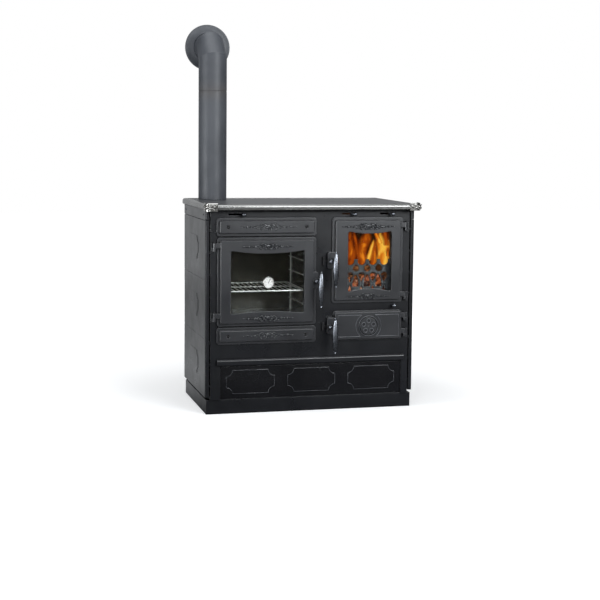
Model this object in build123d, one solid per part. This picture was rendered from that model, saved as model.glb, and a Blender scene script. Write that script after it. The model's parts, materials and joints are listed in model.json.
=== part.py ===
"""A wood cookstove: sheet-steel body, cast doors and hob, oven, firebox, ash pan, wood drawer and flue pipe.

Millimetres. X runs to the right seen from the front, the front faces -Y, and Z is up.
The origin is on the floor, under the middle of the body.
"""

import os
from math import cos, pi, radians, sin, sqrt

from build123d import *

# ---- body ----
BODY_W = 878.0
BODY_D = 490.0
BODY_H = 825.0
DRAWN_BODY = (878.0, 490.0, 825.0)
PLINTH_H = 58.0
PLINTH_INSET = 6.0
SHEET = 2.0
SMALL_ROUND_R = 12.5
FLATS = 12
PLATE = 6.0
SIDE_T = 16.0
SIDE_GAP = 5.0
SIDE_FOOT = 70.0
DRAWN_SHELF_Z = 200.0
REAR_FLANGE_W = 22.0
BACK_PANEL_T = 1.5

# ---- side panels ----
STRIP_H = 40.0
STRIP_JOINT = 2.0
SIDE_EDGE_R = 7.0
SEAM_W = 3.0
SEAM_DEPTH = 1.0
DRAWN_SIDE_FIELD_Y = 12.0
SPACER_PITCH = 90.0
SPACER_FIRST_Z = 114.0
SPACER_COUNT = 8
SPACER_W = 10.0

# ---- stamped cartouches, on the drawer and the side panels ----
CARTOUCHE_W = 200.0
CARTOUCHE_H = 96.0
SCOOP_R = 26.0
CARTOUCHE_RISE = 1.5
DRAWN_CARTOUCHE_PITCH = 256.0

# ---- hob ----
HOB_SIDE_OVERHANG = 4.0
HOB_FRONT_OVERHANG = 55.0
HOB_BACK_OVERHANG = 43.0
RAIL_H = 25.0
RAIL_W = 22.0
RAIL_CORNER_R = 16.0
RAIL_TOP_R = 10.0
RAIL_FOOT_R = 6.0
RAIL_GROOVE_W = 3.0
RAIL_GROOVE_DEPTH = 1.5
LEDGE_W = 14.0
HOB_PLATE_T = 10.0
HOB_PLATE_DROP = 1.0
PLATE_GAP = 0.5
PLATE_EDGE = 0.8
DRAWN_PLATE_JOINT_X = 39.0
DRAWN_RING_X = 235.0
DRAWN_RING_Y = -10.0
RING_R = 115.0
LID_R = 85.0
SEAT_W = 8.0
RING_STEP = 5.0
RING_CLEAR = 0.4
SEAT_CLEAR = 0.2
LIFT_NOTCH_R = 7.0
LIFT_NOTCH_DEPTH = 3.0
CORNER_LEN = 48.0
CORNER_WALL = 5.0
CORNER_RISE = 5.0
CORNER_DROP = 2.0
CORNER_BEAD_R = 7.0
CORNER_BEAD_OUT = 3.0

# ---- flue ----
PIPE_R = 60.0
PIPE_WALL = 1.5
DRAWN_PIPE_X = -330.0
DRAWN_PIPE_Y = 176.0
PIPE_SEAM_Z = 1310.0
ELBOW_BEND_Z = 1445.0
FLUE_AXIS_Z = 1500.0
WALL_Y = 300.0
PIPE_TAIL = 50.0
SPIGOT_WALL = 4.0
SPIGOT_H = 36.0
SPIGOT_CLEAR = 0.3
COLLAR_FLANGE_T = 6.0
COLLAR_FLANGE_W = 3.0
ROSETTE_R = 98.0
ROSETTE_T = 2.0
ROSETTE_DEPTH = 14.0
DUCT_HALF_W = 68.0
DRAWN_DUCT_FRONT = 110.0
DRAWN_DUCT_BACK = 240.0
DRAWN_DUCT_FOOT_Z = 232.0
PORT_W = 40.0
PORT_H = 46.0
DRAWN_PORT_X = -288.0
DRAWN_PORT_Z = 768.0

# ---- cast doors and covers ----
DOOR_GAP = 0.5
FLANGE_T = 6.0
FACE_RISE = 12.0
LEAF_SKIN = 5.0
FLANGE_W = 12.0
FLANGE_R = 12.0
FACE_R = 5.0
FACE_EDGE = 1.6
WINDOW_R = 8.0
SEAL_W = 5.5
SEAL_T = 3.2
SEAL_INSET = 10.0
SEAL_DEPTH = 3.0
GLASS_T = 4.0
GLASS_MARGIN = 13.0
GLASS_CLEAR = 0.3
RETAINER_T = 1.5
RETAINER_W = 16.0
PAD_W = 10.0

DRAWN_OVEN_DOOR = (-392.0, 17.0, 358.0, 716.0)
DRAWN_OVEN_WINDOW = (-339.0, -34.0, 407.0, 664.0)
OVEN_WINDOW_BOW = (13.0, 10.0)
DRAWN_FIRE_DOOR = (85.0, 387.0, 443.0, 794.0)
DRAWN_FIRE_WINDOW = (148.0, 336.0, 487.0, 738.0)
FIRE_WINDOW_BOW = (10.0, 15.0)
DRAWN_ASH_DOOR = (92.0, 387.0, 287.0, 410.0)
ASH_FLANGE_W = 6.0
DRAWN_UPPER_COVER = (-394.0, 18.0, 721.0, 795.0)
DRAWN_LOWER_COVER = (-393.0, 18.0, 285.0, 353.0)
COVER_HOLE_INSET = 45.0
COVER_SCREW_R = 4.0
COVER_HEAD_R = 7.0
COVER_OPENING_MARGIN_X = 68.0
COVER_OPENING_MARGIN_Z = 16.0

# ---- hinges ----
HINGE_OFFSET = 12.0
HINGE_PROUD = 13.0
PIN_R = 3.0
PIN_CLEAR = 0.05
PIN_HEAD_R = 4.6
KNUCKLE_R = 7.0
DOOR_EAR_H = 20.0
FRAME_EAR_H = 12.0
EAR_GAP = 0.3
BRACKET_T = 4.0
BRACKET_W = 9.0
DRAWN_OVEN_HINGES_Z = (674.0, 392.0)
DRAWN_FIRE_HINGES_Z = (752.0, 466.0)
DRAWN_ASH_HINGES_Z = (378.0, 312.0)

# ---- handles ----
SHAFT_R = 5.0
SHAFT_CLEAR = 0.05
BOSS_R = 11.0
BOSS_PROUD = 7.0
LUG_HALF_W = 10.0
LUG_R = 8.0
LUG_LAP = 2.0
LUG_UP = 38.0
LUG_DOWN = 30.0
GRIP_LEN = 141.0
GRIP_UP = 40.0
GRIP_R = 12.0
GRIP_TIP_R = 3.2
GRIP_OUT = 50.0
GRIP_SIDE = 10.0
GRIP_TIP_BULGE = 0.8
GRIP_BANDS = 6
ARM_W = 9.0
PEG_R = 3.5
NUT_R = 8.0
NUT_H = 10.0
TONGUE_LEN = 20.0
TONGUE_W = 10.0
TONGUE_T = 4.0
KEEPER_GAP = 1.0
KEEPER_W = 7.0
KEEPER_H = 34.0
KEEPER_OUT = 11.0
DRAWN_OVEN_HANDLE = (13.5, 536.0)
DRAWN_FIRE_HANDLE = (74.0, 616.0)
DRAWN_ASH_HANDLE = (74.0, 347.0)

# ---- sliders and the shaker rod ----
DRAWN_SLIDER_Z = 808.0
SLOT_H = 7.0
STEM_R = 3.0
KNOB_R = 8.5
KNOB_OUT = 25.0
KNOB_NECK = 3.0
DRAWN_BYPASS_X = -286.0
BYPASS_TRAVEL = 55.0
DRAWN_AIR_X = (174.0, 337.0)
AIR_TRAVEL = 45.0
SHUTTER_W = 74.0
SHUTTER_H = 20.0
GUIDE_CLEAR = 0.3
DAMPER_W = 70.0
DAMPER_LAP = 12.0
DRAWN_SHAKER_X = 349.0
DRAWN_SHAKER_Z = 428.0
SHAKER_TRAVEL = 25.0
SHAKER_R = 4.0
SHAKER_CLEAR = 0.6

# ---- oven ----
OVEN_WALL = 2.5
DRAWN_OVEN_BACK = 95.0
DRAWN_OVEN_OPENING = (-366.0, -9.0, 384.0, 690.0)
OVEN_FLANGE = 14.0
LADDER_R = 2.5
DRAWN_LADDER_RUNGS_Z = (431.0, 491.0, 551.0, 611.0, 671.0)
DRAWN_LADDER_POSTS_Y = (-190.0, 60.0)
RUNG_INSET = 6.9
RUNG_OVERHANG = 22.0
RACK_INSET = 10.0
RACK_FRAME_R = 3.0
RACK_WIRE_R = 1.6
RACK_WIRES = 15
RACK_RUNG = 1
DRAWN_RACK_FRONT = -226.0
RACK_CORNER_R = 18.0

# ---- thermometer ----
DRAWN_DIAL_X = -184.0
DRAWN_DIAL_Z = 534.0
CASE_R = 24.0
CASE_H = 11.0
CASE_WALL = 2.0
STEM_HOLE_R = 4.0
DIAL_T = 1.0
DIAL_PIN_R = 1.0
NEEDLE_LEN = 15.0
NEEDLE_W = 1.6
NEEDLE_HUB_R = 2.4

# ---- firebox and ash box ----
DRAWN_FIRE_OPENING = (107.0, 364.0, 465.0, 772.0)
BRICK_T = 25.0
DRAWN_FIRE_LEFT = 120.0
DRAWN_FIRE_RIGHT = 351.0
DRAWN_FIRE_BACK = 112.0
DRAWN_BRICK_TOP = 792.0
BRICK_ROWS = 3
DRAWN_GRATE_FRAME_Z = 434.0
GRATE_FRAME_T = 12.0
DRAWN_GRATE_W = 138.0
DRAWN_GRATE_L = 200.0
GRATE_T = 9.0
DRAWN_GRATE_Y = -50.0
GRATE_BARS = 9
GRATE_SEAT = 8.0
GRATE_LIP = 4.0
GRATE_RIM = 18.0
DRAWN_GUARD_Y = -224.0
GUARD_T = 8.0
DRAWN_GUARD_PITCH = 48.0
DRAWN_GUARD_X = 240.0
DRAWN_GUARD_SILL = 490.0
DRAWN_GUARD_BAND_LOW = 569.0
DRAWN_GUARD_BAND_TOP = 595.0
DRAWN_GUARD_ARCH_FOOT = 512.0
DRAWN_GUARD_ARCH_H = 43.0
GUARD_ARCH_W = 25.0
GUARD_POST_W = 13.0
GUARD_DROP_R = 7.0
GUARD_HANG_R = 12.5
GUARD_POINT_R = 1.0
DRAWN_GUARD_TOP = 619.0
DRAWN_ASH_OPENING = (112.0, 367.0, 305.0, 392.0)
DRAWN_ASH_BACK = 100.0
PAN_CLEAR = 9.0
PAN_H = 66.0
PAN_WALL = 1.5
PULL_W = 90.0
PULL_H = 16.0
PULL_OUT = 6.0
DRAWN_PAN_FRONT = -222.0

# ---- air rosette on the ash door ----
DRAWN_MEDAL_X = 239.5
DRAWN_MEDAL_Z = 347.0
MEDAL_R = 42.0
DISC_R = 36.0
DISC_T = 3.0
DISC_CLEAR = 0.4
PETALS = 5
PETAL_R = 6.5
PETAL_PITCH_R = 22.0
ROSETTE_PIN_R = 3.0
BORDER_RISE = 1.2
BORDER_INSET = 17.0
BORDER_SCOOP_R = 54.0

# ---- ledge and wood drawer ----
DRAWN_LEDGE_X = (-392.0, 399.0)
DRAWN_LEDGE_Z = 199.0
LEDGE_H = 25.0
LEDGE_OUT = 12.0
DRAWN_DRAWER_OPENING = (-376.0, 389.0, 58.0, 195.0)
DRAWER_CLEAR = 1.5
DRAWER_RECESS = 4.0
DRAWER_SKIN = 3.0
DRAWER_RETURN = 18.0
TRAY_SIDE_CLEAR = 12.0
DRAWN_TRAY_BACK = 215.0
TRAY_H = 112.0
RUNNER_H = 6.0
RUNNER_W = 30.0
DRAWN_RUNNER_X = 330.0
DRAWER_SEAT = 0.3


# ---- the layout follows the body when its sizes change ----
HALF_W = BODY_W / 2
CORE_W = HALF_W - SIDE_T - SIDE_GAP
WIDE = CORE_W / (DRAWN_BODY[0] / 2 - SIDE_T - SIDE_GAP)
DEEP = BODY_D / DRAWN_BODY[1]
TALL = (BODY_H - PLINTH_H) / (DRAWN_BODY[2] - PLINTH_H)


def across(*places):
    """X places, moved with the width of the body."""
    return tuple(x * WIDE for x in places)


def along(*places):
    """Y places, moved with the depth of the body."""
    return tuple(y * DEEP for y in places)


def up(*places):
    """Heights over the plinth, moved with the height of the body."""
    return tuple(PLINTH_H + (z - PLINTH_H) * TALL for z in places)


def on_front(edges):
    """(left, right, foot, top) of a piece on the front."""
    return across(*edges[:2]) + up(*edges[2:])


def spot(place):
    """(X, Z) of a point on the front."""
    return across(place[0]) + up(place[1])


OVEN_DOOR = on_front(DRAWN_OVEN_DOOR)
OVEN_WINDOW = on_front(DRAWN_OVEN_WINDOW)
FIRE_DOOR = on_front(DRAWN_FIRE_DOOR)
FIRE_WINDOW = on_front(DRAWN_FIRE_WINDOW)
ASH_DOOR = on_front(DRAWN_ASH_DOOR)
UPPER_COVER = on_front(DRAWN_UPPER_COVER)
LOWER_COVER = on_front(DRAWN_LOWER_COVER)
OVEN_OPENING = on_front(DRAWN_OVEN_OPENING)
FIRE_OPENING = on_front(DRAWN_FIRE_OPENING)
ASH_OPENING = on_front(DRAWN_ASH_OPENING)
DRAWER_OPENING = on_front(DRAWN_DRAWER_OPENING)
OVEN_HANDLE = spot(DRAWN_OVEN_HANDLE)
FIRE_HANDLE = spot(DRAWN_FIRE_HANDLE)
ASH_HANDLE = spot(DRAWN_ASH_HANDLE)
OVEN_HINGES_Z = up(*DRAWN_OVEN_HINGES_Z)
FIRE_HINGES_Z = up(*DRAWN_FIRE_HINGES_Z)
ASH_HINGES_Z = up(*DRAWN_ASH_HINGES_Z)
LADDER_RUNGS_Z = up(*DRAWN_LADDER_RUNGS_Z)
AIR_X = across(*DRAWN_AIR_X)
LEDGE_X = across(*DRAWN_LEDGE_X)
LADDER_POSTS_Y = along(*DRAWN_LADDER_POSTS_Y)
RING_X = DRAWN_RING_X * WIDE
PIPE_X = DRAWN_PIPE_X * WIDE
PORT_X = DRAWN_PORT_X * WIDE
BYPASS_X = DRAWN_BYPASS_X * WIDE
SHAKER_X = DRAWN_SHAKER_X * WIDE
DIAL_X = DRAWN_DIAL_X * WIDE
MEDAL_X = DRAWN_MEDAL_X * WIDE
GUARD_X = DRAWN_GUARD_X * WIDE
FIRE_LEFT = DRAWN_FIRE_LEFT * WIDE
FIRE_RIGHT = DRAWN_FIRE_RIGHT * WIDE
RUNNER_X = DRAWN_RUNNER_X * WIDE
PLATE_JOINT_X = DRAWN_PLATE_JOINT_X * WIDE
CARTOUCHE_PITCH = DRAWN_CARTOUCHE_PITCH * WIDE
GUARD_PITCH = DRAWN_GUARD_PITCH * WIDE
GRATE_W = DRAWN_GRATE_W * WIDE
RING_Y = DRAWN_RING_Y * DEEP
PIPE_Y = DRAWN_PIPE_Y * DEEP
FIRE_BACK = DRAWN_FIRE_BACK * DEEP
GRATE_Y = DRAWN_GRATE_Y * DEEP
GRATE_L = DRAWN_GRATE_L * DEEP
GUARD_Y = DRAWN_GUARD_Y * DEEP
OVEN_BACK = DRAWN_OVEN_BACK * DEEP
ASH_BACK = DRAWN_ASH_BACK * DEEP
PAN_FRONT = DRAWN_PAN_FRONT * DEEP
RACK_FRONT = DRAWN_RACK_FRONT * DEEP
TRAY_BACK = DRAWN_TRAY_BACK * DEEP
DUCT_FRONT = DRAWN_DUCT_FRONT * DEEP
DUCT_BACK = DRAWN_DUCT_BACK * DEEP
SIDE_FIELD_Y = DRAWN_SIDE_FIELD_Y * DEEP
SLIDER_Z, SHAKER_Z, DIAL_Z, MEDAL_Z = up(DRAWN_SLIDER_Z, DRAWN_SHAKER_Z, DRAWN_DIAL_Z, DRAWN_MEDAL_Z)
PORT_Z, BRICK_TOP, GRATE_FRAME_Z = up(DRAWN_PORT_Z, DRAWN_BRICK_TOP, DRAWN_GRATE_FRAME_Z)
GUARD_BAND_LOW, GUARD_BAND_TOP = up(DRAWN_GUARD_BAND_LOW, DRAWN_GUARD_BAND_TOP)
GUARD_SILL, GUARD_TOP, LEDGE_Z = up(DRAWN_GUARD_SILL, DRAWN_GUARD_TOP, DRAWN_LEDGE_Z)
SHELF_Z, DUCT_FOOT_Z, GUARD_ARCH_FOOT = up(DRAWN_SHELF_Z, DRAWN_DUCT_FOOT_Z, DRAWN_GUARD_ARCH_FOOT)
GUARD_ARCH_H = DRAWN_GUARD_ARCH_H * TALL
HOB_W = BODY_W + 2 * HOB_SIDE_OVERHANG
HOB_D = BODY_D + HOB_FRONT_OVERHANG + HOB_BACK_OVERHANG
HOB_FRONT = -BODY_D / 2 - HOB_FRONT_OVERHANG

# ---- planes and gaps worked out from the values above ----
FRONT = -BODY_D / 2
BACK = BODY_D / 2
FRAME_BACK = FRONT + PLATE
HOB_TOP = BODY_H + RAIL_H
PLATE_TOP = HOB_TOP - HOB_PLATE_DROP
PLATE_FOOT = PLATE_TOP - HOB_PLATE_T
HOB_BACK = HOB_FRONT + HOB_D
LEAF_BACK = FRONT - DOOR_GAP
FLANGE_FRONT = LEAF_BACK - FLANGE_T
FACE_FRONT = FLANGE_FRONT - FACE_RISE
SKIN_BACK = FACE_FRONT + LEAF_SKIN
GLASS_FRONT = SKIN_BACK + GLASS_CLEAR
GLASS_BACK = GLASS_FRONT + GLASS_T
HINGE_Y = FRONT - HINGE_PROUD
BOSS_FRONT = FACE_FRONT - BOSS_PROUD
TONGUE_BACK = LEAF_BACK - 1.5
TONGUE_FRONT = TONGUE_BACK - TONGUE_T
LUG_BACK = TONGUE_FRONT - GLASS_CLEAR
GRIP_Y = FACE_FRONT - GRIP_OUT
KNOB_Y = FRONT - KNOB_OUT
DRAWER_FACE = FRONT + DRAWER_RECESS


# ---- shapes used by many pieces ----
def block(x0, x1, y0, y1, z0, z1):
    """A plain block between two planes on each axis."""
    return Pos((x0 + x1) / 2, (y0 + y1) / 2, (z0 + z1) / 2) * Box(x1 - x0, y1 - y0, z1 - z0)


def panel(edges, inset=0.0, radius=0.0):
    """A flat rectangle in X and Z, drawn from (left, right, foot, top), with rounded corners."""
    x0, x1, z0, z1 = edges
    width = x1 - x0 - 2 * inset
    height = z1 - z0 - 2 * inset
    flat = RectangleRounded(width, height, radius) if radius else Rectangle(width, height)
    return Pos((x0 + x1) / 2, (z0 + z1) / 2) * flat


def upright(face, y_front, depth):
    """A flat outline in X and Z made a slab that runs back from y_front."""
    return extrude(Plane.XZ.offset(-y_front) * face, -depth)


def round_outline(radius):
    """A round outline. A small one has flats, because small rounds repeat all over the stove."""
    return Circle(radius) if radius > SMALL_ROUND_R else RegularPolygon(radius, FLATS)


def bore_outline(radius):
    """A round hole's outline, with its flats set back to clear a round bar of the given radius."""
    return Circle(radius) if radius > SMALL_ROUND_R else RegularPolygon(radius / cos(pi / FLATS), FLATS)


def disc(x, z, radius, y_front, depth):
    """A round slab or bar along Y, from y_front back."""
    return upright(Pos(x, z) * round_outline(radius), y_front, depth)


def bore(x, z, radius, y_front, depth):
    """A round hole along Y, from y_front back."""
    return upright(Pos(x, z) * bore_outline(radius), y_front, depth)


def post(x, y, radius, z0, z1):
    """A round bar along Z."""
    return Pos(x, y, z0) * extrude(round_outline(radius), z1 - z0)


def well(x, y, radius, z0, z1):
    """A round hole along Z."""
    return Pos(x, y, z0) * extrude(bore_outline(radius), z1 - z0)


def bar(start, end, radius):
    """A round bar between two points."""
    run = Vector(*end) - Vector(*start)
    return Plane(origin=start, z_dir=run) * extrude(round_outline(radius), run.length)


def wire(start, end, radius):
    """A thin bar between two points, six-sided because many of them repeat, with two edges level."""
    run = Vector(*end) - Vector(*start)
    level = (1, 0, 0) if abs(run.X) < abs(run.Y) + abs(run.Z) else (0, 1, 0)
    return Plane(origin=start, x_dir=level, z_dir=run) * extrude(RegularPolygon(radius, 6), run.length)


def turned(*profile):
    """A small turned solid about Z, from (radius, height) points in order from its foot."""
    rings = [Pos(0, 0, height) * RegularPolygon(radius, FLATS) for radius, height in profile]
    return loft(rings, ruled=True)


def ball_profile(radius, angles, height=0.0):
    """The (radius, height) points of a ball at the given angles of latitude."""
    return [(radius * cos(radians(a)), height + radius * sin(radians(a))) for a in angles]


def facing(x, y, z):
    """The place of a turned solid whose foot is at y and whose top points to the front."""
    return Pos(x, y, z) * Rot(90, 0, 0)


def front_edges(part, y):
    """The edges that lie in the plane y."""
    return part.edges().filter_by_position(Axis.Y, y - 0.01, y + 0.01)


def scooped(width, height, scoop):
    """A flat cartouche: a rectangle with a round bite out of each corner."""
    face = Rectangle(width, height)
    for sx in (-1, 1):
        for sz in (-1, 1):
            face -= Pos(sx * width / 2, sz * height / 2) * Circle(scoop)
    return face


def bowed_window(edges, bow):
    """The glass opening: straight sides, a top that sags and a foot that rises in the middle."""
    x0, x1, z0, z1 = edges
    sag, rise = bow
    mid = (x0 + x1) / 2
    outline = [
        ThreePointArc((x0, z1), (mid, z1 - sag), (x1, z1)),
        Line((x1, z1), (x1, z0)),
        ThreePointArc((x1, z0), (mid, z0 + rise), (x0, z0)),
        Line((x0, z0), (x0, z1)),
    ]
    face = make_face(outline)
    return fillet(face.vertices(), WINDOW_R)


# ---- body ----
def plinth():
    half = HALF_W - PLINTH_INSET
    front = FRONT + PLINTH_INSET
    outer = block(-half, half, front, BACK, 0, PLINTH_H)
    return outer - block(-half + SHEET, half - SHEET, front + SHEET, BACK - SHEET, SHEET, PLINTH_H)


def casing():
    """The welded core: floor, both side walls, the shelf over the wood drawer and the rear flanges."""
    core = block(-CORE_W, CORE_W, FRAME_BACK, BACK - BACK_PANEL_T, PLINTH_H, BODY_H)
    inner = block(-CORE_W + SHEET, CORE_W - SHEET, FRAME_BACK, BACK - BACK_PANEL_T, PLINTH_H + SHEET, BODY_H)
    core -= inner
    core += block(-CORE_W + SHEET, CORE_W - SHEET, FRAME_BACK, BACK - BACK_PANEL_T, SHELF_Z, SHELF_Z + SHEET)
    for side in (-1, 1):
        x = sorted((side * (CORE_W - SHEET), side * (CORE_W - REAR_FLANGE_W)))
        core += block(x[0], x[1], BACK - BACK_PANEL_T - SHEET, BACK - BACK_PANEL_T, PLINTH_H + SHEET, BODY_H)
    return core


def back_panel():
    return block(-CORE_W, CORE_W, BACK - BACK_PANEL_T, BACK, PLINTH_H, BODY_H)


def cover_opening(edges):
    """The cleaning opening behind a screwed cover."""
    x0, x1, z0, z1 = edges
    mx, mz = COVER_OPENING_MARGIN_X, COVER_OPENING_MARGIN_Z
    return panel((x0 + mx, x1 - mx, z0 + mz, z1 - mz))


def slider_slot(x, travel):
    return Pos(x - travel / 2, SLIDER_Z) * SlotOverall(travel + SLOT_H + 2, SLOT_H)


def front_frame():
    plate = block(-CORE_W, CORE_W, FRONT, FRAME_BACK, PLINTH_H, BODY_H)
    openings = [
        panel(OVEN_OPENING, 0, 6),
        panel(FIRE_OPENING, 0, 6),
        panel(ASH_OPENING),
        panel(DRAWER_OPENING),
        cover_opening(UPPER_COVER),
        cover_opening(LOWER_COVER),
        slider_slot(BYPASS_X, BYPASS_TRAVEL),
        Pos(SHAKER_X, SHAKER_Z) * bore_outline(SHAKER_R + SHAKER_CLEAR),
    ]
    openings += [slider_slot(x, AIR_TRAVEL) for x in AIR_X]
    for opening in openings:
        plate -= upright(opening, FRONT, PLATE)
    for x, z in cover_holes():
        plate -= bore(x, z, COVER_SCREW_R, FRONT, PLATE)
    return plate


def side_panel(side):
    """A folded casing with a rounded front edge, three stamped cartouches and a strip under the hob."""
    outer, inner = HALF_W, HALF_W - SIDE_T
    strip_z = BODY_H - STRIP_H
    pieces = []
    for z0, z1 in ((SIDE_FOOT, strip_z - STRIP_JOINT), (strip_z, BODY_H)):
        shell = block(inner, outer, FRONT, BACK, z0, z1)
        edge = shell.edges().filter_by(Axis.Z).group_by(Axis.X)[-1].sort_by(Axis.Y)[0]
        shell = fillet(edge, SIDE_EDGE_R)
        shell -= block(inner, outer - SHEET, FRONT + SHEET, BACK - SHEET, z0 + SHEET, z1 - SHEET)
        shell += block(inner, inner + SHEET, FRONT, FRONT + SIDE_T, z0, z1)
        shell += block(inner, inner + SHEET, BACK - SIDE_T, BACK, z0, z1)
        pieces.append(shell)
    main = pieces[0]
    field_h = (strip_z - STRIP_JOINT - SIDE_FOOT) / 3
    outside = Plane(origin=(outer, 0, 0), x_dir=(0, 1, 0), z_dir=(1, 0, 0))
    for row in range(3):
        z = SIDE_FOOT + field_h * (row + 0.5)
        stamp = Pos(SIDE_FIELD_Y, z) * scooped(CARTOUCHE_W, CARTOUCHE_H, SCOOP_R)
        main += extrude(outside * stamp, CARTOUCHE_RISE)
        if row:
            seam_z = SIDE_FOOT + field_h * row
            foot, top = seam_z - SEAM_W / 2, seam_z + SEAM_W / 2
            main -= block(outer - SEAM_DEPTH, outer, FRONT + SIDE_T, BACK, foot, top)
    for n in range(SPACER_COUNT):
        z = SPACER_FIRST_Z + n * SPACER_PITCH
        for y in (FRONT + SIDE_T / 2, BACK - SIDE_T / 2):
            if z < strip_z - SIDE_T:
                main += Pos(inner - SIDE_GAP / 2, y, z) * Box(SIDE_GAP, SPACER_W, SPACER_W)
    both = [main, pieces[1]]
    return Compound(both if side > 0 else [mirror(piece, Plane.YZ) for piece in both])


def front_ledge():
    """The cast rib that shades the top of the drawer."""
    x0, x1 = LEDGE_X
    rib = block(x0, x1, FRONT - LEDGE_OUT, FRONT, LEDGE_Z, LEDGE_Z + LEDGE_H)
    nose = rib.edges().filter_by(Axis.X).group_by(Axis.Y)[0]
    rib = fillet(nose.sort_by(Axis.Z)[-1], LEDGE_OUT * 0.7)
    lip = rib.edges().filter_by(Axis.X).group_by(Axis.Y)[0].sort_by(Axis.Z)[0]
    return fillet(lip, LEDGE_OUT * 0.2)


def drawer_runners():
    rails = []
    for side in (-1, 1):
        x = side * RUNNER_X
        z = PLINTH_H + SHEET
        y = DRAWER_FACE + DRAWER_RETURN + DRAWER_CLEAR
        rails.append(block(x - RUNNER_W / 2, x + RUNNER_W / 2, y, TRAY_BACK, z, z + RUNNER_H))
    return Compound(rails)


# ---- hob ----
def hob_outline(inset):
    """The hob's rounded outline, drawn in from its edge."""
    radius = max(RAIL_CORNER_R - inset, 2)
    return Pos(0, HOB_FRONT + HOB_D / 2) * RectangleRounded(HOB_W - 2 * inset, HOB_D - 2 * inset, radius)


def hob_frame():
    """The polished rail with a bull nose, a groove on top and a ledge that carries the plates."""
    rail = extrude(Pos(0, 0, BODY_H) * hob_outline(0), RAIL_H)
    rail = fillet(rail.edges().group_by(Axis.Z)[-1], RAIL_TOP_R)
    rail = chamfer(rail.edges().group_by(Axis.Z)[0], RAIL_FOOT_R * 0.7)
    rail -= extrude(Pos(0, 0, PLATE_FOOT) * hob_outline(RAIL_W), RAIL_H)
    rail -= extrude(Pos(0, 0, BODY_H) * hob_outline(RAIL_W + LEDGE_W), RAIL_H)
    groove = hob_outline(RAIL_W - 2 * RAIL_GROOVE_W) - hob_outline(RAIL_W - RAIL_GROOVE_W)
    return rail - extrude(Pos(0, 0, HOB_TOP - RAIL_GROOVE_DEPTH) * groove, RAIL_GROOVE_DEPTH)


def hob_plate(x0, x1):
    sheet = extrude(Pos(0, 0, PLATE_FOOT) * hob_outline(RAIL_W + PLATE_GAP), HOB_PLATE_T)
    plate = sheet & block(x0, x1, HOB_FRONT, HOB_BACK, PLATE_FOOT, PLATE_TOP)
    return chamfer(plate.edges().group_by(Axis.Z)[-1], PLATE_EDGE)


def hob_plate_left():
    plate = hob_plate(-HOB_W / 2, PLATE_JOINT_X - PLATE_GAP)
    spigot_r = PIPE_R - PIPE_WALL - SPIGOT_CLEAR
    return plate - well(PIPE_X, PIPE_Y, spigot_r, PLATE_FOOT, PLATE_TOP)


def hob_plate_right():
    plate = hob_plate(PLATE_JOINT_X + PLATE_GAP, HOB_W / 2)
    plate -= well(RING_X, RING_Y, RING_R + RING_CLEAR, PLATE_TOP - RING_STEP, PLATE_TOP)
    return plate - well(RING_X, RING_Y, RING_R - SEAT_W, PLATE_FOOT, PLATE_TOP)


def hob_ring():
    seat = PLATE_TOP - RING_STEP + SEAT_CLEAR
    top = PLATE_TOP + SEAT_CLEAR
    ring = post(RING_X, RING_Y, RING_R, seat, top)
    ring += post(RING_X, RING_Y, RING_R - SEAT_W - RING_CLEAR, PLATE_FOOT, top)
    ring -= well(RING_X, RING_Y, LID_R + RING_CLEAR, seat, top)
    return ring - well(RING_X, RING_Y, LID_R - SEAT_W, PLATE_FOOT, top)


def hob_lid():
    seat = PLATE_TOP - RING_STEP + 2 * SEAT_CLEAR
    top = PLATE_TOP + 2 * SEAT_CLEAR
    lid = post(RING_X, RING_Y, LID_R, seat, top)
    lid += post(RING_X, RING_Y, LID_R - SEAT_W - RING_CLEAR, PLATE_FOOT, top)
    notch_y = RING_Y - LID_R + 3 * LIFT_NOTCH_R
    return lid - well(RING_X, notch_y, LIFT_NOTCH_R, top - LIFT_NOTCH_DEPTH, top)


def bead():
    """One domed bead, standing on the XY plane."""
    shoulder = (CORNER_BEAD_R * 0.8, CORNER_BEAD_OUT * 0.6)
    return turned((CORNER_BEAD_R, 0), shoulder, (CORNER_BEAD_R * 0.4, CORNER_BEAD_OUT))


def hob_corner(side):
    """A nickel corner casting that wraps the rail, with a bead on both faces."""
    reach = CORNER_WALL
    z0, z1 = BODY_H - CORNER_DROP, HOB_TOP + CORNER_RISE
    wide = RectangleRounded(HOB_W + 2 * reach, HOB_D + 2 * reach, RAIL_CORNER_R + reach)
    sleeve = extrude(Pos(0, HOB_FRONT + HOB_D / 2, z0) * wide, z1 - z0)
    sleeve = chamfer(sleeve.edges().group_by(Axis.Z)[-1], reach * 0.6)
    sleeve -= extrude(Pos(0, 0, z0) * hob_outline(0), z1 - z0)
    x = HOB_W / 2 + reach
    y = HOB_FRONT - reach
    cap = sleeve & block(x - CORNER_LEN, x, y, y + CORNER_LEN, z0, z1)
    z = (z0 + z1) / 2
    along = (RAIL_CORNER_R + reach + CORNER_LEN) / 2
    cap += Pos(x - along, y, z) * Rot(90, 0, 0) * bead()
    cap += Pos(x, y + along, z) * Rot(0, 90, 0) * bead()
    return cap if side > 0 else mirror(cap, Plane.YZ)


def hob_corners():
    return Compound([hob_corner(-1), hob_corner(1)])


# ---- flue ----
def flue_collar():
    """The cast spigot that stands up through the hob plate, with a flange under the plate."""
    radius = PIPE_R - PIPE_WALL - SPIGOT_CLEAR
    top = PLATE_TOP + SPIGOT_H
    collar = post(PIPE_X, PIPE_Y, radius, PLATE_FOOT, top)
    collar += post(PIPE_X, PIPE_Y, radius + COLLAR_FLANGE_W, PLATE_FOOT - COLLAR_FLANGE_T, PLATE_FOOT)
    return collar - well(PIPE_X, PIPE_Y, radius - SPIGOT_WALL, PLATE_FOOT - COLLAR_FLANGE_T, top)


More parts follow.
